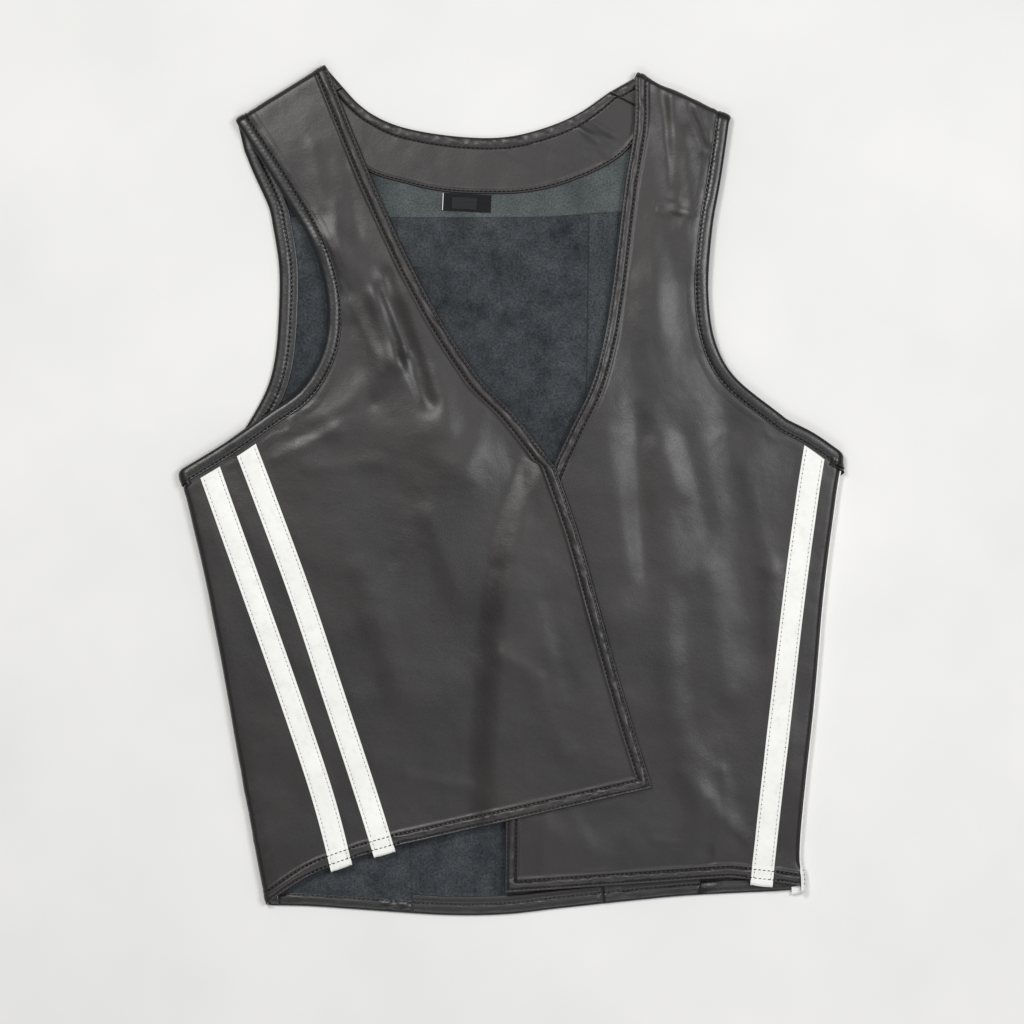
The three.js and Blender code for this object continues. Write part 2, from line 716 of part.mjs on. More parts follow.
const yokeSeamAt = reader(yokeSeam, 'x', 'y');

// The side pieces of the back: outer face down, so the folded allowances rise on the inside
function backSideSheet({ side, seamX, innerX, armholeTable, cornerIndex, allowance }) {
  const corner = armholeTable[cornerIndex];
  const reached = armholeTable.slice(cornerIndex).filter(({ y }) => y < yokeSeamAt(corner.x) - SEAM_CLEARANCE);
  const top = edgeCrossing(armholeTable);
  const gap = (side * SEAM_GAP) / 2;
  const innerAt = (y) => innerX(y) + gap;
  const cornerX = (y) => {
    const atHem = mix(innerAt(y), seamX(y), CORNER_SHARE_AT_HEM);
    return mix(corner.x, atHem, (corner.y - y) / BACK_BELOW_CORNER);
  };
  const cornerColumn = onTop(cornerX, backHeight);
  const underarm = reader(armholeTable.slice(0, cornerIndex + 1), 'x', 'y');
  const topRightY = yokeSeamAt(innerAt(corner.y)) - SEAM_GAP / 2;
  const bottomY = meet((y) => ({ x: innerAt(y) }), backHemAt);
  const grid = panelGrid({
    outer: [
      underneath((y) => seamX(y) - gap, backHeight),
      underneath((y) => mix(seamX(y), cornerColumn.place(y).x, 0.5), backHeight),
    ],
    corner: cornerColumn,
    armhole: pathThrough([...reached, { x: top.x, y: top.y - SEAM_GAP / 2 }]),
    innerUp: straight(innerAt, corner.y, topRightY),
    innerDown: straight(innerAt, corner.y, bottomY),
    heightAt: backHeight,
    topEdge: underarm,
    bottomEdge: backHemAt,
    armLines: [BINDING_LINE, BOUND_FADE],
    edgeLines: allowance ? [ALLOWANCE_WIDTH + 1, ALLOWANCE_WIDTH] : [],
    topLines: [BINDING_LINE, BOUND_FADE],
    hemLines: [BACK_HEM_FADE, BACK_HEM_WIDTH],
    interior: 3,
    rowsUp: 7,
    rowsDown: 4,
  });
  const lastRow = grid.length - 1;
  const lastColumn = grid[0].length - 1;
  const raised = (i, j) => i >= lastRow - 1 || (allowance && j >= lastColumn - 1);
  return {
    grid,
    normals: gridNormals(grid, -side),
    outerHalf: () => HALF,
    innerHalf: (i, j) => HALF + (raised(i, j) ? FOLDED_IN : 0),
  };
}

// A seam given as x over y, as a path between two heights
function straight(xAt, fromY, toY) {
  return pathThrough([0, 0.5, 1].map((t) => ({ x: xAt(mix(fromY, toY, t)), y: mix(fromY, toY, t) })));
}

// Where an armhole edge crosses the yoke seam
function edgeCrossing(armholeTable) {
  const upper = armholeTable.filter(({ y }) => y > ARMHOLE_MIDDLE_Y);
  const xAt = reader(upper, 'y', 'x');
  const y = meet((at) => ({ x: xAt(at) }), yokeSeamAt);
  return { x: xAt(y), y };
}

const bentSeam = ({ topY, topX, bendY, bendX, bottomY, bottomX }) => (y) =>
  y > bendY
    ? mix(bendX, topX, (y - bendY) / (topY - bendY))
    : mix(bendX, bottomX, (bendY - y) / (bendY - bottomY));
const rightInnerX = bentSeam(rightBackSeam);
const leftInnerX = bentSeam(leftBackSeam);
const backRightSheet = backSideSheet({
  side: -1,
  seamX: rightSeamX,
  innerX: rightInnerX,
  armholeTable: backArmholeRight,
  cornerIndex: 2,
  allowance: false,
});
const backLeftSheet = backSideSheet({
  side: 1,
  seamX: leftSeamX,
  innerX: leftInnerX,
  armholeTable: backArmholeLeft,
  cornerIndex: 4,
  allowance: true,
});

// The centre back between its two seams, with a row where they bend
function backCentreSheet() {
  const topY = (x) => yokeSeamAt(x) - SEAM_GAP / 2;
  const grid = [];
  const lay = (i, x, y) => {
    grid[i] ??= [];
    grid[i].push(new THREE.Vector3(x, y, backHeight(x, y)));
  };
  for (let j = 0; j <= BACK_CENTRE_COLUMNS; j += 1) {
    const share = j / BACK_CENTRE_COLUMNS;
    const xAt = (y) => mix(rightInnerX(y) + SEAM_GAP / 2, leftInnerX(y) - SEAM_GAP / 2, share);
    const bendY = mix(rightBackSeam.bendY, leftBackSeam.bendY, share);
    const top = meet((y) => ({ x: xAt(y) }), topY);
    const bottom = meet((y) => ({ x: xAt(y) }), backHemAt);
    const upper = stations(top, bendY, [], [], 2).slice(0, -1);
    const heights = [...upper, ...stations(bendY, bottom, [], [BACK_HEM_FADE, BACK_HEM_WIDTH], 4)];
    heights.forEach((y, i) => lay(i, xAt(y), y));
  }
  const lastRow = grid.length - 1;
  return {
    grid,
    normals: gridNormals(grid, 1),
    outerHalf: () => HALF,
    innerHalf: (i) => HALF + (i >= lastRow - 1 ? FOLDED_IN : 0),
  };
}

// The yoke, between the two shoulder seams, the neckline, the armholes and the yoke seam
function yokeSheet() {
  const neck = pathThrough(backNeck);
  const { seamArm: rightArm, seamNeck: rightNeckEnd } = rightShoulder;
  const { seamArm: leftArm, seamNeck: leftNeckEnd } = leftShoulder;
  const along = (a, b, insets) => {
    const length = flat(a).distanceTo(flat(b));
    return insets.map((d) => flat(a).lerp(flat(b), d / length));
  };
  const armInsets = [0, BINDING_LINE, BOUND_FADE, YOKE_SHOULDER_COLUMN];
  const neckShares = Array.from({ length: YOKE_NECK_STEPS + 1 }, (_, k) => k / YOKE_NECK_STEPS);
  const neckPlaces = neckShares.map((share) => neck.getPointAt(share));
  const top = [
    ...along(rightArm, rightNeckEnd, armInsets),
    ...neckPlaces,
    ...along(leftArm, leftNeckEnd, armInsets).reverse(),
  ];
  const rightEnd = edgeCrossing(backArmholeRight);
  const leftEnd = edgeCrossing(backArmholeLeft);
  const width = leftEnd.x - rightEnd.x;
  const bottomX = [
    ...armInsets.map((d) => rightEnd.x + d),
    ...neckShares.map((share) => mix(rightEnd.x + YOKE_NECK_COLUMN, leftEnd.x - YOKE_NECK_COLUMN, share)),
    ...armInsets.map((d) => leftEnd.x - d).reverse(),
  ];
  const edgeBetween = (table, low, high) => {
    const between = table.filter(({ y }) => y > low.y + SEAM_CLEARANCE / 2 && y < high.y - SEAM_CLEARANCE / 2);
    const path = pathThrough([low, ...between, high]);
    return (t) => path.getPointAt(t);
  };
  const rightEdgeAt = edgeBetween(backArmholeRight, rightEnd, rightArm);
  const leftEdgeAt = edgeBetween(backArmholeLeft, leftEnd, leftArm);
  const grid = [];
  for (let i = 0; i <= YOKE_ROWS; i += 1) {
    const t = 1 - i / YOKE_ROWS;
    grid.push(
      top.map((upper, j) => {
        const lower = new THREE.Vector3(bottomX[j], yokeSeamAt(bottomX[j]) + SEAM_GAP / 2, 0);
        const share = (bottomX[j] - rightEnd.x) / width;
        const bulge = (edgeAt) => edgeAt(t).sub(edgeAt(0).lerp(edgeAt(1), t));
        const p = lower.lerp(upper, t);
        p.addScaledVector(bulge(rightEdgeAt), 1 - share).addScaledVector(bulge(leftEdgeAt), share);
        return p.setZ(backHeight(p.x, p.y));
      }),
    );
  }
  grid[0].forEach((p, j) => {
    if (j <= armInsets.length || j >= top.length - armInsets.length - 1) p.y -= SHOULDER_SEAM_SHIFT;
  });
  return { grid, normals: gridNormals(grid, 1), outerHalf: () => HALF, innerHalf: () => HALF };
}

// The neck facing lies on the inside of the yoke, 0.3 mm above it
const FACING_FLOOR = LEATHER + SEAM_GAP;
const facingEnd = ({ seamArm, seamNeck }) =>
  flat(seamNeck).add(flat(seamArm).sub(flat(seamNeck)).setLength(FACING_WIDTH));

function facingMesh(name, upper, lower, steps, lines) {
  const under = [];
  const over = [];
  for (const { share, sewn } of lines) {
    const row = Array.from({ length: steps + 1 }, (_, k) => upper(k / steps).lerp(lower(k / steps), share));
    under.push(row.map((p) => p.clone().setZ(FACING_FLOOR)));
    over.push(row.map((p) => p.clone().setZ(FACING_FLOOR + FACING_THICK + sewn)));
  }
  return slab(name, under, over, blackLeather());
}

const facingLines = [
  { share: 0.012, sewn: FACING_SEWN },
  { share: 0.19, sewn: FACING_SEWN },
  { share: 0.23, sewn: 0 },
  { share: 0.88, sewn: 0 },
  { share: 0.92, sewn: FACING_SEWN },
  { share: 1, sewn: FACING_SEWN },
];

function backFacing() {
  const neck = pathThrough(backNeck);
  const lower = pathThrough([facingEnd(rightShoulder), ...facingEdge, facingEnd(leftShoulder)]);
  const seamward = (p) => p.clone().setY(p.y - SEAM_GAP);
  return facingMesh(
    'neck_facing_back',
    (t) => seamward(neck.getPointAt(t)),
    (t) => seamward(lower.getPointAt(t)),
    BACK_FACING_STEPS,
    facingLines,
  );
}

// The ends of the front facings run from the shoulder seam to the start of the shoulder fold
function frontFacing(name, { seamNeck, seamArm, arm, neck }) {
  const away = new THREE.Vector3(arm.y - neck.y, neck.x - arm.x, 0).normalize();
  if (away.y < 0) away.negate();
  const inward = flat(seamArm).sub(flat(seamNeck)).normalize();
  const start = flat(seamNeck).addScaledVector(away, SEAM_GAP).addScaledVector(inward, FACING_INSET);
  const end = flat(neck).addScaledVector(away, -FACING_END).addScaledVector(inward, FACING_INSET);
  return facingMesh(
    name,
    (t) => start.clone().lerp(end, t),
    (t) => start.clone().lerp(end, t).addScaledVector(inward, FACING_WIDTH - FACING_INSET),
    FRONT_FACING_STEPS,
    facingLines,
  );
}

// The binding: a U-shaped section carried round the whole armhole edge
const bindingSection = [
  { along: BINDING_WIDTH, up: BINDING_HALF },
  { along: BINDING_SHOULDER, up: BINDING_HALF },
  { along: -BINDING_NOSE, up: BINDING_HALF * BINDING_NOSE_SHARE },
  { along: -BINDING_NOSE, up: -BINDING_HALF * BINDING_NOSE_SHARE },
  { along: BINDING_SHOULDER, up: -BINDING_HALF },
  { along: BINDING_WIDTH, up: -BINDING_HALF },
  { along: BINDING_WIDTH, up: BINDING_WALL - BINDING_HALF },
  { along: -SEAM_GAP, up: BINDING_WALL - BINDING_HALF },
  { along: -SEAM_GAP, up: BINDING_HALF - BINDING_WALL },
  { along: BINDING_WIDTH, up: BINDING_HALF - BINDING_WALL },
];

// Frames along a sheet's armhole edge: the place, the way into the leather and the outer normal
function edgeFrames(sheet, places) {
  return places.map(([i, j, inI, inJ]) => {
    const p = sheet.grid[i][j];
    const inner = sheet.grid[inI][inJ];
    return { p, inward: inner.clone().sub(p), normal: sheet.normals[i][j] };
  });
}

function frontFrames(sheet, outerCount) {
  const first = sheet.firstRow;
  const places = [];
  for (let j = 0; j < outerCount; j += 1) places.push([first, j, first + 1, j]);
  places.push([first, outerCount, first + 1, outerCount + 1]);
  for (let i = first - 1; i >= 0; i -= 1) places.push([i, outerCount, i, outerCount + 1]);
  return edgeFrames(sheet, places);
}

function backFrames(sheet, outerCount) {
  const first = sheet.grid.findIndex((row) => row[0]);
  const places = [];
  for (let i = 0; i < first; i += 1) places.push([i, outerCount, i, outerCount + 1]);
  places.push([first, outerCount, first + 1, outerCount + 1]);
  for (let j = outerCount - 1; j >= 0; j -= 1) places.push([first, j, first + 1, j]);
  return edgeFrames(sheet, places);
}

function yokeFrames(sheet, atLeft) {
  const last = sheet.grid[0].length - 1;
  const places = sheet.grid.map((_, i) => (atLeft ? [i, last, i, last - 1] : [i, 0, i, 1]));
  return edgeFrames(sheet, places);
}

function bindingMesh(name, frames) {
  const count = frames.length;
  const rings = frames.map(({ p, inward, normal }, k) => {
    const tangent = frames[(k + 1) % count].p.clone().sub(frames[(k + count - 1) % count].p).normalize();
    const into = inward.clone().normalize();
    const up = normal.clone().projectOnPlane(into).normalize();
    const stretch = 1 / into.clone().cross(tangent).length();
    return bindingSection.map((spot) =>
      p.clone().addScaledVector(into, spot.along * stretch).addScaledVector(up, spot.up),
    );
  });
  const positions = rings.flat().flatMap((p) => [p.x, p.y, Math.max(p.z, 0)]);
  const around = bindingSection.length;
  const triangles = [];
  for (let k = 0; k < count; k += 1) {
    const next = (k + 1) % count;
    for (let s = 0; s < around; s += 1) {
      const t = (s + 1) % around;
      const a = k * around + s;
      const b = next * around + s;
      const c = next * around + t;
      const d = k * around + t;
      triangles.push(a, b, c, a, c, d);
    }
  }
  return closedMesh(name, positions, triangles, blackLeather());
}

// Frames that nearly coincide at the seams are merged into one
function joinFrames(...groups) {
  const all = groups.flat();
  return all.filter(({ p }, k) => p.distanceTo(all[(k + 1) % all.length].p) > 2 * SEAM_GAP);
}

function tag(name, { x, y, width, height, thick, turn }, floor) {
  const geometry = new THREE.BoxGeometry(width, height, thick);
  const mesh = new THREE.Mesh(geometry, wovenLabel());
  mesh.name = name;
  mesh.position.set(x, y, floor + thick / 2);
  mesh.rotation.z = turn;
  return mesh;
}

const yoke = yokeSheet();
const rightCount = rightOuter.length;
const leftCount = leftOuter.length;
const BACK_OUTER_COLUMNS = 2;

const vest = new THREE.Group();
vest.add(
  panelMesh('front_right', rightSheet, blackLeather()),
  panelMesh('front_left', leftSheet, blackLeather()),
  panelMesh('back_yoke', yoke, fleshSide()),
  panelMesh('back_centre', backCentreSheet(), fleshSide()),
  panelMesh('back_side_right', backRightSheet, fleshSide()),
  panelMesh('back_side_left', backLeftSheet, fleshSide()),
  backFacing(),
  frontFacing('facing_front_right', rightShoulder),
  frontFacing('facing_front_left', leftShoulder),
  bindingMesh(
    'armhole_binding_right',
    joinFrames(
      frontFrames(rightSheet, rightCount),
      yokeFrames(yoke, false),
      backFrames(backRightSheet, BACK_OUTER_COLUMNS),
    ),
  ),
  bindingMesh(
    'armhole_binding_left',
    joinFrames(
      frontFrames(leftSheet, leftCount),
      yokeFrames(yoke, true),
      backFrames(backLeftSheet, BACK_OUTER_COLUMNS),
    ),
  ),
  stripeMesh('stripe_right_outer', rightSheet, rightStripes.outer, STRIPE_UNDER_RUN),
  stripeMesh('stripe_right_inner', rightSheet, rightStripes.inner, STRIPE_UNDER_RUN),
  stripeMesh('stripe_left_outer', leftSheet, leftStripes.outer, STRIPE_UNDER_RUN_AT_FOLD, STRIPE_START_AT_FOLD),
  stripeMesh('stripe_left_inner', leftSheet, leftStripes.inner, STRIPE_UNDER_RUN),
  tag('neck_label', LABEL, LEATHER + SEAM_GAP),
  tag('size_tab', SIZE_TAB, LEATHER + SEAM_GAP + LABEL.thick + SEAM_GAP),
);

// The origin is the middle of the underside
const box = new THREE.Box3().setFromObject(vest);
const middle = box.getCenter(new THREE.Vector3());
vest.position.set(-middle.x, -middle.y, -box.min.z);

export default vest;
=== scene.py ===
import json
import math

import bpy
import numpy as np
from mathutils import Vector, noise
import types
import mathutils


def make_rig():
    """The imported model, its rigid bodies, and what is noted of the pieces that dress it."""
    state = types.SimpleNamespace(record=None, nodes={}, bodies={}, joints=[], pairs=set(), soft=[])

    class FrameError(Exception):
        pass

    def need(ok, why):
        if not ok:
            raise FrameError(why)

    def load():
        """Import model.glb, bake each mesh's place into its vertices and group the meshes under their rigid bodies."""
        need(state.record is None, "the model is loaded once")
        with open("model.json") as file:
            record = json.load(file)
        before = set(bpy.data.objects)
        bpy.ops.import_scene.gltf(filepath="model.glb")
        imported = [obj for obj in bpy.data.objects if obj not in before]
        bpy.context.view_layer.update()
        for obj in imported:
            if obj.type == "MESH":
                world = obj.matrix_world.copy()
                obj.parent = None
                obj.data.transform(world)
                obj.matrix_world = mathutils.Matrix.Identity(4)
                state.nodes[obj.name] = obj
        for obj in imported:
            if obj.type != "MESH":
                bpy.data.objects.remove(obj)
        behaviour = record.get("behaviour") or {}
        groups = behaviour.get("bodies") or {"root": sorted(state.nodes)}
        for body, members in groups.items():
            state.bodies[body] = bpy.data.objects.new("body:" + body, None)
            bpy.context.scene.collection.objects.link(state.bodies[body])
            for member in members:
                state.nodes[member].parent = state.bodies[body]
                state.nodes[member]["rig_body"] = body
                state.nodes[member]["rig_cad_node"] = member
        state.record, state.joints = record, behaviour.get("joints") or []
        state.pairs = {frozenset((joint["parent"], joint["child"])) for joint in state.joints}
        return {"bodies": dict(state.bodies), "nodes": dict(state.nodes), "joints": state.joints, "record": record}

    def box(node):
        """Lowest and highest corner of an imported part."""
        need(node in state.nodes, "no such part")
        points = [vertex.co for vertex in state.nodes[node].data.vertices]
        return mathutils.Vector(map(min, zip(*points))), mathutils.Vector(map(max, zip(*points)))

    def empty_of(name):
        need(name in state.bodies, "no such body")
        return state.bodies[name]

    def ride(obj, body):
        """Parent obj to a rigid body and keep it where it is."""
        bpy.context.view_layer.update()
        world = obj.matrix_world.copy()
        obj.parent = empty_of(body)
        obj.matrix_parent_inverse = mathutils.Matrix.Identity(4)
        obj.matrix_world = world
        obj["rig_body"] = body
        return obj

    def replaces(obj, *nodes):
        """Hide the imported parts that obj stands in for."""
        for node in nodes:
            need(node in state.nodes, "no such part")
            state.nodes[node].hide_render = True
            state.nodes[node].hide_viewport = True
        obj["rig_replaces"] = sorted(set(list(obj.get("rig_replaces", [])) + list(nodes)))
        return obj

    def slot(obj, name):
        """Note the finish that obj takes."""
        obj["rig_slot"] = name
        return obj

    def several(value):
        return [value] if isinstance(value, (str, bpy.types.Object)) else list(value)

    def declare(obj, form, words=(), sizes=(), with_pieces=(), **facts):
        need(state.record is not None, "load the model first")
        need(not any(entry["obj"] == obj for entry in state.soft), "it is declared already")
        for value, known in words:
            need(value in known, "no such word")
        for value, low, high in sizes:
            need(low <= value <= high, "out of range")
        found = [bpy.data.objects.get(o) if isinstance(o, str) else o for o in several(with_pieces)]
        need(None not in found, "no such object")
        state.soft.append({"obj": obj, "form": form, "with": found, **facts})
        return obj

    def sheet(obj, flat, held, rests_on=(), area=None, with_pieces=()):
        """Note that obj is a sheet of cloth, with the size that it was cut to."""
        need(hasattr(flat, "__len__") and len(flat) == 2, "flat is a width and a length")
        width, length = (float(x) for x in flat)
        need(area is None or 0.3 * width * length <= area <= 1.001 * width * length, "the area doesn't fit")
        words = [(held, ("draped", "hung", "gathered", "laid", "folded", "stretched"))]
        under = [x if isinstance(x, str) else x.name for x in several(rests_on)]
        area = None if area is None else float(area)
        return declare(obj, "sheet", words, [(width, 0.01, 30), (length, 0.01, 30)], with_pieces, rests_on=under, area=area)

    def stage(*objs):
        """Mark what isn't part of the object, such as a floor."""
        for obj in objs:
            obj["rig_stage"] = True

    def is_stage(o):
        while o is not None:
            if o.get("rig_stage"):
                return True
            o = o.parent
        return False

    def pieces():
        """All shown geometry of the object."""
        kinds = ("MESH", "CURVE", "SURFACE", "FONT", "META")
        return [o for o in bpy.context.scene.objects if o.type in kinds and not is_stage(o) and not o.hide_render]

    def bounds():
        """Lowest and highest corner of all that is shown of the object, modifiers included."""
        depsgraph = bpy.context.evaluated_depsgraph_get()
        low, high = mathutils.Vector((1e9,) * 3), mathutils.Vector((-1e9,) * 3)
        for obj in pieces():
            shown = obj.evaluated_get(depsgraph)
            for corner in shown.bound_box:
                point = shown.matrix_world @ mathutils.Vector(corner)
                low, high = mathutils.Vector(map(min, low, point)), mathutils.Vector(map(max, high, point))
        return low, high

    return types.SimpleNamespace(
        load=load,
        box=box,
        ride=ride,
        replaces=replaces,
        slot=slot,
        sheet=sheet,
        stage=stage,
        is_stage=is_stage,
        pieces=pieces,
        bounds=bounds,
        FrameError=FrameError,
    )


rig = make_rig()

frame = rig.load()
cad_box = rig.bounds()

# Lengths are millimetres in the garment's own frame until a mesh is made: x runs to the wearer's left,
# y to the neck and z up from the surface that the vest lies on. Outlines are tables of x and y. Levels, side
# seams and back seams are tables of y and then x, because they are read by height.
LEATHER = 1.3
HALF = LEATHER / 2
SEAM_GAP = 0.3
SEWN_GAP = 0.04

# Turned edges with two rows of stitches
TURNED_OUT = 0.5
TURNED_IN = 0.6
TURNED_WIDTH = 10.0
STITCH_OUTER = 1.8
STITCH_INNER = 8.2
PUFF = 0.78
LIP = 0.22
GROOVE = 0.5
GROOVE_REACH = 0.62
BEAD = 0.16
BEAD_LINE = STITCH_INNER + 1.3
BEAD_REACH = 0.8
EDGE_LINES = (14.0, 12.6, 11.4, 10.4, 9.6, 9.0, 8.6, 8.2, 7.7, 6.8, 5.6, 4.4, 3.3, 2.5, 1.8, 1.2)

FRONT_HEIGHT = 8.4
OVERLAP_LIFT = 3.8
OVERLAP_FADE = 30.0
OVERLAP_FULL = 5.0

BINDING_HALF = 1.9
BINDING_LINE = 9.8
BOUND_FADE = 30.0
BINDING_STITCH = 8.0
BINDING_GROOVE = 1.24
TOP_LINES = (2.5, 5.0, 7.5, 9.0, BINDING_LINE, 10.8, 12.4, 15.0)

STRIPE_WIDTH = 16.8
STRIPE_THICK = 1.0
STRIPE_REACH = 4.0
STRIPE_UNDER_RUN = 8.0
STRIPE_UNDER_RUN_AT_FOLD = 2.5
STRIPE_STITCH = 2.3
CORNER_FROM_STRIPE = 17.0
STRIPE_TURN = 70.0
STRIPE_TURN_AT_HEM = 14.0
STRIPE_SPREAD = (-278.0, -286.0)

BACK_HEM_STITCH = 8.4
FOLDED_IN = 1.0
ALLOWANCE_WIDTH = 15.0
ALLOWANCE_BESIDE = 21.5

FACING_WIDTH = 38.0
FACING_THICK = 1.1
FACING_END = 5.0
FACING_INSET = 1.0
FACING_FLOOR = LEATHER + SEAM_GAP
FACING_STITCH = 8.0
FACING_EDGE_STITCH = 2.0

LABEL = {"x": -31.9, "y": 216.6, "width": 36.8, "height": 13.2, "thick": 0.6, "turn": -0.05}
SIZE_TAB = {"x": -33.5, "y": 216.2, "width": 19.0, "height": 9.0, "thick": 0.4, "turn": -0.05}

STITCH_PITCH = 3.4
STITCH_LENGTH = 2.5
THREAD_RADIUS = 0.33
NOSE = 0.5
BACK_NOSE = 0.8
STRIP_NOSE = 0.35
TAG_NOSE = 0.2

# Right front: level, side fold and the outer edges of its two stripes
RIGHT_LEVELS = [
    (30, -252.5, -238.6, -205.6), (-2, -243, -227.3, -193.4), (-80, -225, -199.5, -164.6),
    (-158, -210.8, -172, -138.8), (-236, -196.5, -146.3, -113.2), (-310, -182.6, -127.5, -90.6),
]
RIGHT_UNDERARM = [(-249, 13), (-212, 35.5), (-181, 57)]
RIGHT_ARMHOLE = [(-155, 76), (-139, 104), (-135, 130), (-138, 157), (-150, 191), (-170, 225)]
RIGHT_NECK = [(35.3, 17.3), (3.8, 57.4), (-22, 84.8), (-48, 123), (-73.5, 170), (-99.8, 227), (-122, 281)]
RIGHT_EDGE = [(35.3, 17.3), (51, -28), (71, -99.5), (91.5, -171), (107.5, -222.5)]
RIGHT_HEM = [
    (-184, -311), (-156.8, -292.8), (-134.6, -282.2), (-85.2, -266.6), (-41.5, -257.7), (107.5, -222.5),
]
RIGHT_SHOULDER = {
    "arm": (-204.5, 278.5), "neck": (-138.3, 320), "seam_arm": (-198, 256.5), "seam_neck": (-124.7, 303.4),
}

# Left front: level, side fold and the outer edge of its inner stripe
LEFT_LEVELS = [
    (30, 250.8, 237.6), (-2, 245.3, 232.5), (-80, 235.5, 222), (-158, 228.8, 213),
    (-236, 220.5, 204), (-278, 217.9, 199.4), (-286, 221, 198.6), (-300, 221.7, 197.3),
]
LEFT_UNDERARM = [(248, 29), (228, 42.7), (204.8, 54.7), (184.3, 68.2)]
LEFT_ARMHOLE = [(166.8, 87), (154, 111), (148.6, 146), (151.5, 197), (158, 235)]
LEFT_NECK = [
    (34.5, 21.8), (46.5, 47.3), (60.8, 77.3), (70.5, 111.8), (77.3, 152.3), (87, 230.3), (93.8, 273.8),
]
LEFT_EDGE = [(34.5, 21.8), (18, -20), (7, -80), (-1, -180), (-3.4, -301.5)]
LEFT_HEM = [(-3.4, -301.5), (38.3, -297), (83.3, -293.3), (152.3, -289.5), (198, -293.3), (218, -296)]
LEFT_SHOULDER = {
    "arm": (165.8, 281), "neck": (96.4, 314.5), "seam_arm": (159.4, 258), "seam_neck": (75.3, 299.6),
}

# Back: armhole edges from the side fold to the shoulder fold, neckline, seams and hem
BACK_ARMHOLE_RIGHT = [
    (-250, 8.6), (-231.8, 21.8), (-197.3, 46.5), (-187.5, 63), (-180, 78.8), (-174.8, 99.8),
    (-171.8, 137.3), (-171.8, 169.5), (-179.3, 213), (-192, 241.5), (-205.5, 277.5),
]
BACK_ARMHOLE_LEFT = [
    (250, 25), (234, 20), (210, 21), (184, 34), (160, 56), (145, 84), (137.5, 115), (135.8, 143.3),
    (138.8, 180.8), (144.8, 213), (155.3, 244.5), (166, 280),
]
BACK_NECK = [
    (-124.7, 303.4), (-114, 291.8), (-102, 282.8), (-81, 273.8), (-36, 266.3), (-1.5, 266.3),
    (29.3, 273.8), (52.5, 284), (75.3, 299.6),
]
FACING_EDGE = [
    (-128, 257), (-103.5, 239.3), (-79.5, 231.8), (-53.3, 225.8), (-18.8, 223.5), (15.8, 225),
    (49.5, 234), (84, 252),
]
YOKE_SEAM = [(-180, 206), (20, 206), (81, 210), (146, 214)]
RIGHT_BACK_SEAM = [(-318, -72.5), (46.5, -88), (206, -97.5)]
LEFT_BACK_SEAM = [(-318, 70.4), (56, 58), (206, 60)]
RIGHT_SIDE_SEAM = [(-312, -171.8), (15, -236.5)]
LEFT_SIDE_SEAM = [(-300, 142.8), (25, 209.3)]
BACK_HEM = [
    (-184, -311.3), (-149.3, -312), (-84.8, -316.5), (-41.3, -318.8), (-1.5, -318), (39, -313.5),
    (127.5, -304.5), (209.3, -300), (221, -297.8),
]

# Folds and creases of the fronts: both ends of the line, how far it reaches to each side, and its rise
FOLDS = [
    (-93, 160, -60, 66, 8, -2.3), (-134, 190, -92, 146, 13, 1.7), (-101, 146, -82, 96, 7, 1.1),
    (-84, 160, -46, 50, 12, 1.2), (-122, 120, -104, 70, 12, -1.2), (-82, 96, -40, 20, 16, 1.2),
    (-130, 50, -90, 96, 12, 1.4), (-30, 26, -96, -92, 20, 1.6), (-66, -150, 24, -118, 22, 1.3),
    (112, 300, 128, 214, 9, -2.2), (128, 262, 136, 170, 11, 1.4), (64, 104, 76, -90, 25, 2.2),
    (160, 40, 186, -120, 18, -1.6), (140, -196, 148, -262, 14, 1.6),
    (112, 30, 124, -60, 14, 1.3), (96, 60, 100, -60, 8, -0.9), (112, 152, 118, 72, 18, 1.5),
    (150, 96, 166, 50, 13, -1.2), (132, -214, 172, -262, 9, 1.3), (14, -248, 66, -276, 13, 0.9),
    (118, -80, 124, -170, 12, 1.2), (196, -60, 200, -190, 8, 1.0), (-52, 40, -10, -70, 34, 2.2),
]
